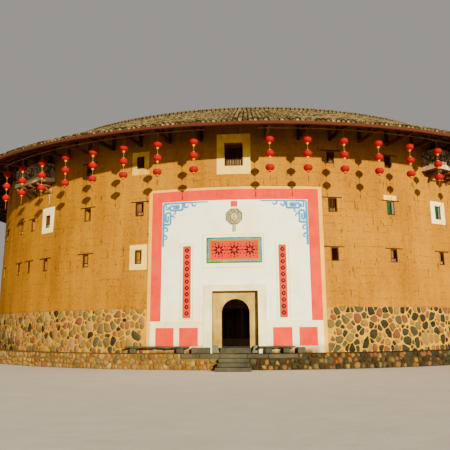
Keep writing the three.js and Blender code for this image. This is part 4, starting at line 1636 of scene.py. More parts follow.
@dataclass
class GateFace:
    """Plaster field, red band, dado, surround, name board, couplets, emblem and scrolls."""

    field_half: float = math.radians(13.65) * PLAN.wall_r
    band_half: float = math.radians(13.05) * PLAN.wall_r
    band_inner: float = math.radians(11.36) * PLAN.wall_r
    foot: float = PLAN.terrace_z + 1
    top: float = 9000.0
    band_top: float = 8870.0
    band_inner_top: float = 8320.0
    band_bottom: float = 2260.0
    panels: tuple[Span, ...] = ((-4020, -3060), (-2780, -1830), (1830, 2770), (3110, 4020))
    door: Span = (1130.0, PLAN.door_top_z)
    surround: Span = (1550.0, 4020.0)
    board_x: Span = (-1380.0, 1370.0)
    board_z: Span = (5110.0, 6390.0)
    emblem_z: float = 7450.0

    def build(self) -> None:
        """Builds every layer from the wall outwards."""
        self.plaster()
        self.stone_surround()
        self.name_board()
        self.couplets()
        self.emblem()
        self.scrolls()

    def plaster(self) -> None:
        """Builds the white field in its ochre edge, the red band with its panels, and the dado."""
        wall = Piece("gate_field", "white_plaster", WHITE, EDGE)
        sheet(wall, self.field_half, (self.foot, self.top), (-4, 36), (self.band_half, self.band_top), 1)
        sheet(wall, self.band_half, (self.foot, self.band_top), (-4, 40), self.surround)
        wall.finish(["gate_plaster"])
        band = Piece("gate_band", "salmon_plaster", SALMON)
        inside = (self.band_inner, self.band_inner_top)
        sheet(band, self.band_half, (self.band_bottom, self.band_top), (38, 52), inside)
        for x in self.panels:
            plate(band, x, (1050, 1945), (48, 62))
        sheet(band, 170, (7955, 8255), (40, 52))
        band.finish(["gate_red_band"])
        dado = Piece("gate_dado", "white_plaster", CREAM)
        for low, lift in ((self.foot, (36, 50)), (self.band_bottom - 34, (48, 62))):
            sheet(dado, self.band_half, (low, self.band_bottom), lift, self.surround)
        dado.finish()

    def stone_surround(self) -> None:
        """Builds the flat surround of the doorway, its two rims and its cheeks."""
        piece = Piece("gate_frame", "granite", RENDER)
        (half, top), (door_half, door_top) = self.surround, self.door
        sheet(piece, half, (self.foot, top), (-4, 74), self.door)
        sheet(piece, half + 6, (self.foot, top + 6), (30, 84), (half - 60, top - 60))
        sheet(piece, door_half + 40, (self.foot, door_top + 40), (60, 88), self.door)
        for _, sign in SIDES:
            centre = [sign * (door_half + 8), -18800.0, (self.foot + door_top) / 2]
            blocks(piece, 0, centre, [16, 400, door_top - self.foot], 3)
        piece.finish(["gate_surround"])

    def name_board(self) -> None:
        """Builds the board over the gate: stepped painted frames round a red field with rosettes."""
        piece = Piece("gate_board", "red_board", RED_BOARD, GREEN, BLUE, YELLOW, INK, MOULDING)

        def inset(by: float) -> tuple[Span, Span]:
            """The board's width and height, less a margin all round."""
            return tuple((low + by, high - by) for low, high in (self.board_x, self.board_z))

        for by, width, lift, paint in ((0, 60, 126, 1), (56, 34, 112, 2), (86, 108, 98, 3)):
            frame_of(piece, *inset(by), width, (38, lift), paint)
        plate(piece, *inset(186), (38, 78))
        frame_of(piece, (-1610, 1480), (4860, 6560), 36, (38, 56), 5)
        t, middle = circle(32), 5750.0
        s = np.array([-780.0, -5.0, 770.0])
        domes(piece, s, middle, 320 * (0.7 + 0.3 * np.cos(8 * t)), 14, 4, proud(80), 4, power=4)
        domes(piece, s, middle, 120 * (0.8 + 0.2 * np.cos(5 * t)), 16, 0, proud(90), power=2)
        t, dot, shares = circle(12), np.full(10, 34.0), (0.6, 1.0)
        s, z = (s[:, None] + 345 * np.cos(t)).ravel(), np.tile(middle + 345 * np.sin(t), 3)
        domes(piece, s, z, dot, 10, 3, proud(80), 4, power=2, ring_shares=shares)
        piece.finish(["name_board"])

    def couplets(self) -> None:
        """Builds the two upright boards: red fields with plain knots in a white frame."""
        t = circle(16)
        knot = 118 / (np.abs(np.cos(t)) ** 1.3 + np.abs(np.sin(t)) ** 1.3) ** (1 / 1.3)
        heights = 2640 + 313.0 * np.arange(11)
        for side, (x0, x1), frame_x in (
            ("left", (-2590.0, -2220.0), (-2760.0, -2090.0)), ("right", (2220.0, 2560.0), (2060.0, 2720.0))):
            piece = Piece(f"couplet_board_{side}", "red_board", RED_BOARD, INK, MOULDING, YELLOW)
            plate(piece, (x0, x1), (2430.0, 5980.0), (38, 84))
            frame_of(piece, (x0 - 16, x1 + 16), (2414.0, 5996.0), 20, (38, 90), 3)
            frame_of(piece, frame_x, (2340.0, 6140.0), 34, (38, 56), 2)
            domes(piece, (x0 + x1) / 2, heights, knot, 10, 3, proud(86), 1, power=4)
            domes(piece, (x0 + x1) / 2, heights, knot * 0.42, 8, 0, proud(92), power=2)
            piece.finish([f"couplet_{side}"])

    def emblem(self) -> None:
        """Builds the eight-sided emblem: rim, spokes, bars in eight groups and a round boss."""
        piece = Piece("eight_sided_emblem", "carved_wood", CARVED, INK)
        z, y = self.emblem_z, -PLAN.face(self.emblem_z) - 80
        eight = np.arange(8) * 45.0
        octagon = 418 / np.cos((circle(24) + np.pi / 8) % (np.pi / 4) - np.pi / 8)
        domes(piece, 0.0, z, octagon, 34, 0, proud(38), power=12.0, ring_shares=(0.9, 1.0))
        for turn, out, size, chamfer, paint, seed in (
            (0, 378, (318, 26, 32), 5, 1, 1), (0, 402, (338, 22, 22), 4, 0, 2),
            (22.5, 280, (24, 22, 170), 4, 1, 3), (0, 252, (120, 22, 24), 4, 1, 4),
            (0, 308, (160, 22, 24), 4, 1, 4), (0, 186, (154, 24, 26), 4, 1, 5)):
            a = np.radians(eight + turn)
            centres = xyz(out * np.sin(a), y, z + out * np.cos(a))
            blocks(piece, 0, centres, size, chamfer, 0, eight + turn, paint, seed)
        domes(piece, 0.0, z, np.full(24, 146.0), 26, 0, proud(68), power=5)
        domes(piece, 0.0, np.array([z - 58, z + 58]), np.full(16, 40.0), 14, 0, proud(88), 1)
        plate(piece, (-70, 70), (6680, 7060), (38, 74), spacing=70)
        for x in (-62, 62):
            plate(piece, (x - 12, x + 12), (6680, 7040), (70, 82), paint=1, spacing=60)
        piece.finish(["gate_emblem"])

    def scrolls(self) -> None:
        """Builds the blue fretwork in the two upper corners, from paths that count from the corner."""
        piece = Piece("corner_scrolls", "white_plaster", BLUE)
        corner_x, corner_z = self.band_inner - 20, self.band_inner_top - 18
        paths = [
            ([(52, 2300), (52, 52), (2400, 52)], 108, 0.5),
            ([(1080, 52), (1080, 420), (400, 420), (400, 190), (880, 190), (880, 300), (560, 300)], 100, 0.1),
            ([(52, 1150), (430, 1150), (430, 540), (170, 540), (170, 1e3), (300, 1e3), (300, 700)], 100, 0.1),
            ([(190, 70), (190, 360), (310, 360), (310, 200)], 76, 0.2),
            ([(660, 430), (700, 590), (560, 620)], 78, 0.3),
            ([(440, 700), (600, 720), (630, 860)], 78, 0.3),
            ([(1160, 60), (1190, 300), (1340, 300), (1370, 170)], 88, 0.3),
            ([(1560, 60), (1590, 220), (1740, 250), (1780, 130)], 82, 0.3),
            ([(52, 1300), (250, 1320), (280, 1480), (150, 1500)], 88, 0.3),
            ([(52, 1700), (220, 1730), (250, 1890), (130, 1920)], 82, 0.3),
        ]
        for _, sign in SIDES:
            for points, width, taper in paths:
                x, z = np.transpose(points)
                path = xyz(sign * (corner_x - x), corner_z - z)
                ribbon(piece, path, 1.15 * width, 41, 14, taper)
        piece.finish(sharp=50)


@dataclass
class GateLeaves:
    """The two plank leaves of the gate, standing open."""

    pivot_x: float = 840.0
    pivot_y: float = -18260.0
    width: float = 830.0
    heel: float = 50.0
    bottom: float = 985.0
    top: float = 3420.0
    planks: int = 5
    rails: tuple[float, ...] = (1250.0, 2200.0, 3150.0)
    ring_z: float = 2010.0
    post: tuple[Span, ...] = ((30, 885), (30, 980), (26, 985), (26, 3425), (30, 3430), (30, 3525))

    def build(self) -> None:
        """Builds each leaf on its own body: planks, rails, studs, a plate with a ring, and the post."""
        y0, y1 = self.pivot_y - self.heel, self.pivot_y + self.width
        wide, tall = (y1 - y0) / self.planks, self.top - self.bottom
        levels, ring_y = np.array(self.rails), y1 - 130
        for side, sign in SIDES:
            piece = Piece(f"{side}_leaf_boards", "gate_boards", DARK_WOOD, IRON)
            x, front = sign * self.pivot_x, sign * (self.pivot_x - 34)
            middles = y0 + (np.arange(self.planks) + 0.5) * wide
            centres = xyz(x, middles, (self.bottom + self.top) / 2)
            blocks(piece, 0, centres, [62.0, wide - 3, tall], 5, seed=50 + sign)
            rails = xyz(x + sign * 38, (y0 + y1) / 2, levels)
            blocks(piece, 0, rails, [24.0, y1 - y0 - 60, 120], 6, seed=53)
            studs = xyz(front, np.linspace(y0 + 100, y1 - 100, 6), levels[:, None]).reshape(-1, 3)
            blocks(piece, 0, studs, [14.0, 26, 26], 7, paint=1, seed=54)
            blocks(piece, 0, [front, ring_y, self.ring_z + 40], [12.0, 110, 110], 5, paint=1)
            t, u = circle(16)[:, None], circle(6)
            out = 62 + 7 * np.cos(u)
            y, z = ring_y + out * np.cos(t), self.ring_z + out * np.sin(t)
            piece.add(xyz(front - sign * 11 + 7 * np.sin(u), y, z), [grid_faces(16, 6, True, True)], 1)
            turnings(piece, np.array([[x, self.pivot_y, 0.0]]), np.array(self.post, float), 14)
            piece.finish([f"gate_leaf_{side}"], body=f"{side}_leaf")


@dataclass
class WindowJoinery:
    """Frames, bars, lintels, sills, shutters and lime patches of the windows."""

    frame_w: float = 52.0
    set_back: float = 70.0
    bar_step: float = 95.0
    lintel: float = 1100.0

    def build(self) -> None:
        """Builds the woodwork storey by storey, and the patches."""
        for row, name in enumerate(("second", "third", "fourth")):
            chosen = [w for w in WINDOWS if abs(w.sill - ROWS[row][1]) < 300]
            self.row(f"windows_{name}_storey", chosen, row)
        patches = Piece("window_patches", "lime_wash", PATCH, OLD_PATCH)
        for k, w in enumerate(w for w in WINDOWS if w.patch):
            beside, below, above = w.patch
            s = math.radians(w.angle if w.angle < 180 else w.angle - 360) * PLAN.wall_r
            x, z = (s - w.half_w, s + w.half_w), (w.sill, w.head)
            outer = (x[0] - beside, x[1] + beside), (z[0] - below, z[1] + above)
            plate(patches, *outer, (-22, 16 + k), [(*x, *z)], int(w.sill != ROWS[1][1]), 170)
        s = math.radians(25.7) * PLAN.wall_r
        plate(patches, (s - 420, s + 400), (8452, 8760), (-22, 15), paint=1)
        patches.finish()

    def row(self, name: str, windows: list[Window], seed: int) -> None:
        """Builds the woodwork of one storey.

        Args:
            name: Name of the piece.
            windows: The storey's windows.
            seed: Seed of the blocks' shades.
        """
        piece = Piece(name, "old_timber", FRAME_WOOD, SHUTTER, PALE_WOOD, GREY_WOOD, LINTEL, PANEL)
        parts = np.array([part for k, w in enumerate(windows) for part in self.parts(w, k)])
        for paint in np.unique(parts[:, 0]):
            own = parts[parts[:, 0] == paint]
            blocks(piece, own[:, 1], own[:, 2:5], own[:, 5:], 5, paint=int(paint), seed=seed)
        piece.finish()

    def parts(self, w: Window, k: int) -> list[tuple[float, ...]]:
        """Lists the timbers of one window.

        Args:
            w: The window.
            k: Its number in the storey, which shifts its lintel.

        Returns:
            Finish, plan angle, centre and size of each.
        """
        found = []

        def put(x: float, back: float, z: float, *size: float, paint: int = 0) -> None:
            """Notes one timber, set back from the frame's middle."""
            y = self.set_back + back - PLAN.face(z)
            found.append((paint, w.angle, x, y, z, *size))

        f, tall, middle = self.frame_w, w.head - w.sill, (w.head + w.sill) / 2
        clear, rail = 2 * w.half_w - 2 * f, w.sill + 0.3 * tall
        upper = w.head - rail - f
        for sign in (-1, 1):
            put(sign * (w.half_w - f / 2), 0, middle, f, 110, tall)
        put(0, 0, w.head - f / 2, clear, 106, f)
        put(0, -20, w.sill + f / 2, clear, 150, f)
        put(30 * (k % 3 - 1), -46, w.head + 27, 2 * w.half_w if w.patch else self.lintel, 84, 52, paint=4)
        if w.look in (Look.BARRED, Look.BOARDED):
            put(0, 14, rail, clear, 56, 44)
            count = max(4, int(clear / self.bar_step))
            for x in np.linspace(-clear / 2, clear / 2, count + 2)[1:-1]:
                put(x, 14, (w.sill + rail) / 2, 30, 30, rail - w.sill - f, paint=2)
                if w.look is Look.BARRED:
                    put(x, 14, (rail + w.head) / 2, 26, 26, upper)
        if w.look is Look.BOARDED:
            put(-0.18 * clear, 60, (rail + w.head) / 2, 0.62 * clear, 26, upper, paint=5)
        if w.look is Look.SHUTTERED:
            put(-0.14 * clear, 20, middle, 0.46 * clear, 30, tall - 2 * f, paint=1)
            put(0.34 * clear, -10, middle, 0.26 * clear, 60, tall - 2 * f, paint=3)
        return found


# Roof


def sway(angle: Array) -> Array:
    """How far the old roof sags or lifts at a plan angle: two slow sines round the ring."""
    return 12 * np.sin(np.radians(5 * angle)) + 7 * np.sin(np.radians(13 * angle + 40))


@dataclass
class TiledSlope:
    """One slope of the roof: columns of cover and pan tiles in courses over boards."""

    name: str
    node: str
    eave: float
    ridge: float
    columns: int
    courses: int
    crest: float = 92.0
    lip: float = 24.0
    overhang: float = 90.0

    def build(self) -> None:
        """Builds the slope.

        Over the deck, a column's height is a raised cosine across it, and each course lifts by the lip
        from its upper end to its butt. A closing face at each end and the boards below make it a ring.
        """
        rng = np.random.default_rng(self.columns)
        across = np.arange(4 * self.columns) / 4
        angle = 180 + 360 * across / self.columns
        wave = self.crest * np.array([1.0, 0.72, 0.0, 0.72])[np.arange(len(angle)) % 4]
        cell = (across + 0.125).astype(int) % self.columns
        step = (self.ridge - self.eave) / self.courses
        level = np.zeros(len(angle))
        rows = [xyz(self.eave, PLAN.deck - 26, level - 1)]
        for course in range(self.courses):
            low, high = self.eave + step * course, self.eave + step * (course + 1)
            slip = rng.uniform(-0.07, 0.07, self.columns)[cell] * step * (course > 0)
            rise = rng.uniform(-4, 7, self.columns)[cell]
            rows.append(xyz(low - slip, PLAN.deck + wave + self.lip + rise, course + 0.02))
            rows.append(xyz(high, PLAN.deck + wave, course + 0.98))
        rows += [xyz(r, 2.0, level + self.courses) for r in (self.ridge, self.eave)]
        r, h, up = np.moveaxis(np.stack(rows), -1, 0)
        z = PLAN.under(np.clip(r, PLAN.court_eave_r - 60, PLAN.eave_r + 60)) + h + sway(angle) * (h > 10)
        faces = grid_faces(len(rows), len(angle), wrap_rows=True, wrap=True)
        shell = Piece(self.name, "roof_tile", TILE, SHADED_SOFFIT, FASCIA)
        shell.add(ring_point(angle, r, z), [faces], 0, xyz(across, up, 0.0))
        band = np.arange(len(faces)) // len(angle)
        shell.paints[-1] = np.where(band == len(rows) - 1, 2, np.where(band >= len(rows) - 3, 1, 0))
        shell.finish([self.node], sharp=75)
        self.ends()

    def ends(self) -> None:
        """Builds the last cover tile of each column as a half pipe that overhangs the eave."""
        piece = Piece(f"{self.name}_ends", "roof_tile", TILE)
        out = 1 if self.eave > self.ridge else -1
        n, m = self.columns, 7
        angle = 180 + 360 * np.arange(n) / n
        t = np.linspace(0.06, 0.94, m) * np.pi
        t = np.concatenate([t, t[::-1]])
        outside = np.arange(2 * m) < m
        x, up = np.where(outside, 92, 70) * np.cos(t), np.where(outside, 96, 74) * np.sin(t)
        bed = PLAN.under(min(max(self.eave, PLAN.court_eave_r), PLAN.eave_r)) + PLAN.deck + 12
        runs = [
            xyz(x, -(self.eave + out * along), bed - PLAN.roof_slope * along + up)
            for along in (-self.overhang, 42.0)]
        local = np.concatenate(runs)
        points = swung(local[None], np.radians(angle)[:, None])
        points[..., 2] += sway(angle)[:, None]
        k = np.arange(m - 1)
        cap = xyz(k, k + 1, 2 * m - 2 - k, 2 * m - 1 - k)
        faces = np.concatenate([grid_faces(2, 2 * m, wrap=True), cap[:, ::-1], cap + 2 * m])
        grain = np.random.default_rng(2).uniform(0, 400, (n, 1, 1)) + local * MM * 0.2
        piece.add(points, [repeated(faces, n, 4 * m)], 0, grain)
        piece.finish(sharp=50)


@dataclass
class Ridge:
    """The ridge: a low wall of tiles under a rounded cap."""

    bars: int = 420
    swell: float = 0.93
    dip: float = 12.0

    def build(self) -> None:
        """Builds the wall as a turned profile with a cap that draws in at every other step."""
        piece = Piece("ridge_tiles", "roof_tile", TILE)
        low, top = PLAN.under(PLAN.ridge_r) + PLAN.deck, PLAN.ridge_top_z
        right = [(80, top - 25), (135, top - 85), (140, top - 120), (100, top - 130)]
        right += [(120, low + 90), (150, low)]
        x, z = np.transpose([*((-x, z) for x, z in right[::-1]), (0, top), *right])
        k = np.arange(2 * self.bars)[:, None]
        drawn = (k % 2) * (z > top - 125)
        r = PLAN.ridge_r + x * np.where(drawn, self.swell, 1.0)
        points = ring_point(360 * k / len(k), r, z - self.dip * drawn)
        grain = xyz(k / 2, 3.3 * np.arange(len(x)), 0.0)
        piece.add(points, [grid_faces(len(k), len(x), True, True)], 0, grain)
        piece.finish(["roof_ridge"], sharp=70)


def ring_beam(piece: Piece, r: Span, z: Span, arc: Span = (0.0, 359.99), paint: int = 0) -> None:
    """Adds a ring beam.

    Args:
        piece: Piece that takes it.
        r: Its inner and outer radius.
        z: Its lower and upper level.
        arc: Plan angles of its two ends.
        paint: Finish that it takes.
    """
    pierced(piece, lines_between(*arc, 1.3), np.array(z), r[1], r[0], paint=paint)


@dataclass
class EaveTimbers:
    """Beams, struts, purlins and rafters under the outer eave, its edge board and the court's rafters."""

    beam_bottom: float = 11500.0
    beam_h: float = 180.0
    beam_w: float = 150.0
    beam_end_r: float = 20890.0
    purlins: tuple[Span, ...] = ((20800.0, 75.0), (19850.0, 65.0))
    purlin_top: float = 70.0
    rafter_count: int = 350
    court_rafters: int = 210

    def build(self) -> None:
        """Builds the two halves, the edge boards and the court's rafters."""
        for side, (start, end) in HALVES.items():
            self.half(side, start, end)
        board = Piece("eave_board", "old_timber", FASCIA)
        for r, inner, outer in ((PLAN.eave_r, -46, 6), (PLAN.court_eave_r, -6, 40)):
            low = PLAN.under(r)
            ring_beam(board, (r + inner, r + outer), (low - 26, low + 128))
        board.finish()
        court = Piece("court_rafters", "old_timber", WOOD)
        places = (np.arange(self.court_rafters) + 0.5) * 360 / self.court_rafters
        self.rafters(court, places, (PLAN.court_eave_r + 60, PLAN.ridge_r - 80), (60.0, 56.0), -1, 5)
        court.finish()

    def half(self, side: str, start: float, end: float) -> None:
        """Builds the timbers of one half.

        Args:
            side: Side of the house.
            start: First bay.
            end: Last bay.
        """
        piece = Piece(f"eave_timbers_{side}", "old_timber", BEAM)
        i = np.arange(max(1, math.ceil(2 * start)), math.ceil(min(2 * end, 2 * PLAN.bays)))
        angle = i * PLAN.pitch / 2
        face, top = PLAN.face(self.beam_bottom), self.beam_bottom + self.beam_h - 2
        long = self.beam_end_r - face + 60
        wide = self.beam_w + np.random.default_rng(len(i)).uniform(-12, 12, len(i))
        centre = [0.0, -(face - 60 + self.beam_end_r) / 2, self.beam_bottom + self.beam_h / 2]
        blocks(piece, angle, centre, xyz(wide, long, self.beam_h), 16, seed=1)
        arc = (start * PLAN.pitch + 0.02, end * PLAN.pitch - 0.02)
        for r, half in self.purlins:
            high = PLAN.under(r + half) - self.purlin_top
            low = self.beam_bottom + 110 if r == self.purlins[0][0] else high - 150
            ring_beam(piece, (r - half, r + half), (low, high), arc)
        wall_top = PLAN.under(face + 60) - 30
        for r, up, size, chamfer, seed in (
            (r, high - 145, (140, 140), 10, 2), (face + 60, wall_top, (170, 130), 12, 4)):
            blocks(piece, angle, [0.0, -r, (top + up) / 2], [*size, up - top], chamfer, seed=seed)
        count = int(self.rafter_count * (end - start) / PLAN.bays)
        places = (start + (np.arange(count) + 0.5) * (end - start) / count) * PLAN.pitch
        self.rafters(piece, places, (PLAN.face(11900.0) - 40, PLAN.eave_r - 60), (66.0, 60.0), 1, 3)
        piece.finish([f"eave_beams_{side}"])

    def rafters(self, piece: Piece, places: Array, reach: Span, section: Span, side: int, seed: int) -> None:
        """Adds rafters under the roof boards.

        Args:
            piece: Piece that takes them.
            places: Plan angle of each.
            reach: Radii of their two ends.
            section: Their width and depth.
            side: 1 outside the ridge and -1 inside it.
            seed: Seed of their shades.
        """
        slope = math.degrees(math.atan(PLAN.roof_slope))
        middle = sum(reach) / 2
        length = (reach[1] - reach[0]) / math.cos(math.radians(slope))
        centre = [0.0, -middle, PLAN.under(middle) - 34]
        blocks(piece, places, centre, [section[0], length, section[1]], 8, side * slope, seed=seed)


# Lookouts and lanterns


@dataclass
class Lookout:
    """A boxed lookout under the eaves: plastered walls on rough timbers."""

    name: str
    angle: float
    half_w: float = 1500.0
    front_r: float = 19650.0
    back_r: float = 18720.0
    foot_z: float = 10370.0
    top_z: float = 11460.0
    wall_t: float = 120.0
    strip: float = 230.0
    boards: int = 7
    joists: tuple[float, ...] = (-1190.0, -420.0, 360.0, 1170.0)
    brace: Span = (620.0, 420.0)
    loose: int = 9

    def build(self) -> None:
        """Builds the walls and the pale strip at their foot, then the timbers."""
        piece = Piece(f"lookout_box_{self.name}", "lime_wash", LOOKOUT_WASH, LOOKOUT_FOOT, WOOD, EAVE_WOOD)
        half, front, back, t, seed = self.half_w, -self.front_r, -self.back_r, self.wall_t, self.seed
        walls = (
            ((-half, front), (half, front + t)), ((-half, front + 10), (-half + t, back)),
            ((half - t, front + 10), (half, back)))
        for k, (low, high) in enumerate(walls):
            hewn(piece, self.angle, (*low, self.foot_z), (*high, self.top_z), 170, 24, 7, seed + k)
        strips = (
            ((-half - 26, front - 26), (half + 26, front + 30)), ((-half - 26, front), (-half + 40, back)),
            ((half - 40, front), (half + 26, back)))
        for k, (low, high) in enumerate(strips):
            low, high = (*low, self.foot_z - 20), (*high, self.foot_z + self.strip)
            hewn(piece, self.angle, low, high, 130, 24, 8, seed + 4 + k, 1)
        self.timbers(piece)
        piece.finish([f"lookout_{self.name}"], merge=True)
        if self.name == "front_left":
            self.drips()

    @property
    def seed(self) -> int:
        """Seed of the lookout's own draws."""
        return int(abs(self.angle) * 7)

    def timbers(self, piece: Piece) -> None:
        """Adds the deck, the joists with their braces and the loose lengths below them.

        Args:
            piece: Piece that takes them.
        """
        front, back, foot, seed = -self.front_r, -self.back_r, self.foot_z, self.seed
        rng = np.random.default_rng(seed)
        y = np.linspace(front - 70, back + 150, self.boards + 1)
        centres = xyz(rng.uniform(-30, 30, self.boards), (y[1:] + y[:-1]) / 2, foot - 60.0)
        long = 2 * self.half_w + 120 + rng.uniform(0, 120, self.boards)
        blocks(piece, self.angle, centres, xyz(long, y[1] - y[0] - 12, 55.0), 10, paint=2, seed=seed)
        run, drop = self.brace
        for k, x in enumerate(self.joists):
            out = rng.uniform(20, 120)
            centre, size = [x, (front - out + back) / 2, foot - 160.0], [170.0, back - front + out, 150.0]
            blocks(piece, self.angle, centre, size, 30, paint=2 + k % 2, seed=seed + k)
            centre = [x + rng.uniform(-40, 40), back - 330, foot - 400.0]
            size, lean = [130.0, math.hypot(run, drop), 120.0], math.degrees(math.atan2(drop, run))
            blocks(piece, self.angle, centre, size, 24, -lean, paint=2, seed=seed + 9 + k)
        for k in range(self.loose):
            centre = [rng.uniform(-1000, 1000), front + rng.uniform(120, 620), foot - 255.0 - 45 * (k % 3)]
            size, tilt, turn = [rng.uniform(400, 1300), 80.0, 75.0], rng.uniform(-6, 6), rng.uniform(-9, 9)
            blocks(piece, self.angle, centre, size, 20, tilt, turn, 2 + k % 2, seed + 20 + k)

    def drips(self) -> None:
        """Builds the streaks of lime that ran down the wall below."""
        piece = Piece(f"lime_drips_{self.name}", "lime_wash", LIME)
        rng = np.random.default_rng(self.seed)
        for x in (1010.0, 1110.0, 1240.0):
            s = math.radians(self.angle) * PLAN.wall_r + x
            top, half = 10250 - rng.uniform(0, 250), rng.uniform(5, 9)
            plate(piece, (s - half, s + half), (top - rng.uniform(350, 1300), top), (-22, 12), spacing=300)
        piece.finish()


@dataclass
class Lanterns:
    """Strings of red lanterns under the eave, three to a string."""

    radius: float = 20600.0
    centres_z: tuple[float, ...] = (10900.0, 10200.0, 9500.0)
    half_h: float = 155.0
    belly: float = 225.0
    strings: int = 8
    tassel_end: float = 8850.0
    hang_z: float = 11499.0
    collar: tuple[Span, ...] = ((64, 0), (80, 6), (80, 30), (64, 36))
    fringe: tuple[Span, ...] = ((30, -58), (48, -52), (60, -6), (52, 0))
    tail: tuple[Span, ...] = ((10, 0), (24, 12), (20, 190), (16, 230), (6, 240))

    def build(self) -> None:
        """Builds the strings of each side as one piece.

        A lantern is a cosine of the angle from its middle, raised to a power, carried round its axis.
        """
        phi = np.linspace(-1.2, 1.2, 9)
        body = xyz(self.belly * np.cos(phi) ** 0.8, self.half_h * np.sin(phi) / math.sin(1.2))
        wire = ((9.0, self.tassel_end + 200), (9.0, self.hang_z))
        collar, fringe, tail, wire = (np.array(v, float) for v in (self.collar, self.fringe, self.tail, wire))
        top = self.half_h - 8
        for side, sign in SIDES:
            piece = Piece(f"lantern_strings_{side}", "lantern_cloth", CLOTH, GOLD, TASSEL, CORD)
            angle = sign * (np.arange(self.strings) + 1) * PLAN.pitch / 2
            for z in self.centres_z:
                last = z == self.centres_z[-1]
                parts = (
                    (0, body, 24, 0.055, 0), (top, collar, 12, 0.0, 1), (-top - 40, collar, 12, 0.0, 1),
                    (-top - 38, fringe, 14, 0.12, 1 + last))
                for k, (up, profile, sides, ribs, paint) in enumerate(parts):
                    centres = ring_point(angle, self.radius, z + up)
                    turnings(piece, centres, profile, sides, ribs, paint, 1 + k)
            turnings(piece, ring_point(angle, self.radius, self.tassel_end), tail, 12, 0.2, 2, 5)
            turnings(piece, ring_point(angle, self.radius, 0.0), wire, 6, 0.0, 3, 6)
            arc = sorted(sign * bays * PLAN.pitch / 2 for bays in (0.7, self.strings + 0.3))
            r = (self.radius - 12, self.radius + 12)
            ring_beam(piece, r, (self.hang_z - 26, self.hang_z), arc, 3)
            piece.finish([f"lanterns_{side}"], sharp=40)


@dataclass
class Court:
    """Balustrades, frames and lattices round the court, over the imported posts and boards."""

    slats: int = 7
    post_w: float = 150.0
    rails: tuple[Triple, ...] = ((975, 70, 130), (40, 90, 110), (620, 50, 100))

    def build(self) -> None:
        """Builds the galleries' woodwork and the rooms' joinery."""
        self.balustrades()
        self.rooms()

    def balustrades(self) -> None:
        """Builds three rails and a row of slats in each bay of the upper storeys."""
        piece = Piece("gallery_balustrades", "old_timber", WOOD)
        half = math.radians(PLAN.pitch / 2)
        r, wide = PLAN.gallery_r * math.cos(half), 2 * PLAN.gallery_r * math.tan(half) - self.post_w
        angle = (np.arange(PLAN.bays) + 0.5) * PLAN.pitch
        offsets = np.tile((np.arange(self.slats) - (self.slats - 1) / 2) * wide / self.slats, PLAN.bays)
        for top in PLAN.floor_tops:
            for up, tall, deep in self.rails:
                blocks(piece, angle, [0.0, -r, top + up], [wide, deep, tall], 10, seed=int(top + up))
            centre = xyz(offsets, 48 - r, top + 480.0)
            blocks(piece, np.repeat(angle, self.slats), centre, [46.0, 34.0, 860.0], 6, seed=int(top))
        piece.finish()

    def rooms(self) -> None:
        """Builds the frames of the doorways and the lattices of the windows, a door to every third bay."""
        piece = Piece("room_joinery", "old_timber", DARK_WOOD, PALE_WOOD)
        door = [(x, 20, 1085, (70, 70, 2150), 8, 0, 0) for x in (-480, 480)]
        door += [(0, 20, 2100, (1030, 74, 80), 8, 0, 5)]
        lattice = [(x, 22, 1500, (56, 50, 900), 6, 0, 9) for x in (-380, 380)]
        lattice += [(0, 22, up, (816, 52, 56), 6, 0, 12) for up in (1075, 1925)]
        lattice += [(x, 26, 1500, (26, 26, 800), 4, 1, 15) for x in np.linspace(-285, 285, 7)]
        r = PLAN.room_front_r * math.cos(math.radians(PLAN.pitch / 2)) - 50
        for storey, z in enumerate((PLAN.terrace_z, *PLAN.floor_tops)):
            every = np.arange(1, PLAN.bays - 1) if storey == 0 else np.arange(PLAN.bays)
            doors = every[(every % 3 == 1) & (every < PLAN.bays - 1)]
            for bays, parts in ((doors, door), (np.setdiff1d(every, doors), lattice)):
                for x, out, up, size, chamfer, paint, seed in parts:
                    angle, centre = (bays + 0.5) * PLAN.pitch, [x, out - r, z + up]
                    blocks(piece, angle, centre, size, chamfer, paint=paint, seed=storey + seed)
        piece.finish()


# Light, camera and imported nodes


def dress_nodes() -> None:
    """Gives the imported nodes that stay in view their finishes."""
    finishes: dict[str, Finish] = {
        "gate_wall_left": EARTH, "gate_wall_right": EARTH, "gate_sill": GRANITE, "gate_arch_stone": SANDSTONE,
        "gate_head_beam": DARK_WOOD, "ground_floor": PAVING,
    }
    finishes |= {f"floor_{k}": FLOORBOARDS for k in (2, 3, 4)}
    finishes |= {f"room_front_{k}": BOARDS for k in (1, 2, 3, 4)}
    finishes |= {f"court_frame_{w}": BOARDS for w in ("front_right", "rear_right", "rear_left", "front_left")}
    for name, finish in finishes.items():
        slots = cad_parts[name].data.materials
        slots.clear()
        slots.append(finish.material())
        log.info("%s: packed node, %s", name, finish.name)


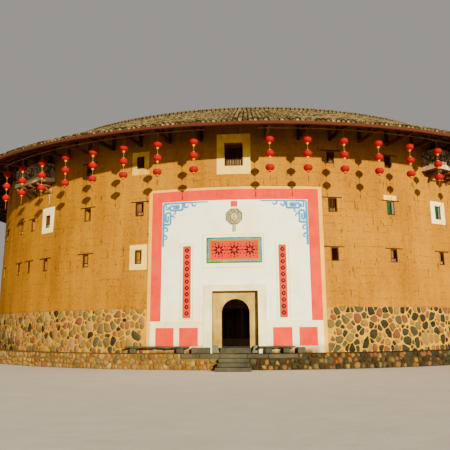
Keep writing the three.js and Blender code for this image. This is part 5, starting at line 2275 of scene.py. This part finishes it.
@dataclass
class Studio:
    """Pale floor, soft light and the camera at the photograph's angle."""

    floor_half: float = 260.0
    azimuth: float = 24.0
    elevation: float = 12.5
    sun: float = 9.4
    sky: float = 0.42
    eye: Triple = (0.8467, -23.7025, 1.0)
    yaw: float = -4.33
    tilt: float = 9.96
    roll: float = -0.46
    lens: float = 46.16

    def build(self) -> None:
        """Makes the floor, the lights and the camera."""
        half = self.floor_half
        corners = [(x, y, -0.002) for x, y in ((-half, -half), (half, -half), (half, half), (-half, half))]
        mesh = bpy.data.meshes.new("floor")
        mesh.from_pydata(corners, [], [(0, 1, 2, 3)])
        mesh.materials.append(Mortar("pale floor", "c8beae", "d6cdbf", 2.0).material())
        linked("floor", mesh)
        world = bpy.data.worlds.new("studio")
        bpy.context.scene.world = world
        world.use_nodes = True
        background = world.node_tree.nodes["Background"]
        background.inputs["Color"].default_value = linear("ece6e0")
        background.inputs["Strength"].default_value = self.sky
        sun = bpy.data.lights.new("key", "SUN")
        sun.energy, sun.angle, sun.color = self.sun, math.radians(1.2), (1.0, 0.94, 0.7)
        key = linked("key", sun)
        a, e = math.radians(self.azimuth), math.radians(self.elevation)
        towards = Vector((math.sin(a) * math.cos(e), -math.cos(a) * math.cos(e), math.sin(e)))
        key.rotation_euler = towards.to_track_quat("Z", "Y").to_euler()
        self.camera()

    def camera(self) -> None:
        """Makes the camera from its place, yaw, tilt and roll."""
        yaw, tilt, roll = (math.radians(v) for v in (self.yaw, self.tilt, self.roll))
        ahead = Vector((math.sin(yaw) * math.cos(tilt), math.cos(yaw) * math.cos(tilt), math.sin(tilt)))
        right = Vector((math.cos(yaw), -math.sin(yaw), 0))
        up = right.cross(ahead)
        across = math.cos(roll) * right + math.sin(roll) * up
        above = -math.sin(roll) * right + math.cos(roll) * up
        data = bpy.data.cameras.new("camera")
        data.lens, data.sensor_width, data.sensor_fit = self.lens, 36.0, "HORIZONTAL"
        data.clip_end = 1000.0
        camera = linked("camera", data)
        rows = Matrix((across, above, -ahead)).transposed().to_4x4()
        camera.matrix_world = Matrix.Translation(Vector(self.eye)) @ rows
        bpy.context.scene.camera = camera


def main() -> None:
    """Builds the house in order, from the ground up."""
    logging.basicConfig(level=logging.INFO, format="%(name)s: %(message)s")
    outer = TiledSlope("outer_tiles", "roof_outer_slope", PLAN.eave_r + 30, PLAN.ridge_r + 100, 560, 20)
    court = TiledSlope("court_tiles", "roof_court_slope", PLAN.court_eave_r - 30, PLAN.ridge_r - 100, 330, 19)
    lookouts = [Lookout(name, angle) for name, angle in LOOKOUTS.items()]
    walls = (EarthWalls(), StoneBase(), Terrace(), GateSteps(), GateFace(), GateLeaves(), WindowJoinery())
    for part in (Studio(), *walls, outer, court, Ridge(), EaveTimbers(), *lookouts, Lanterns(), Court()):
        part.build()
    dress_nodes()


if __name__ == "__main__":
    main()
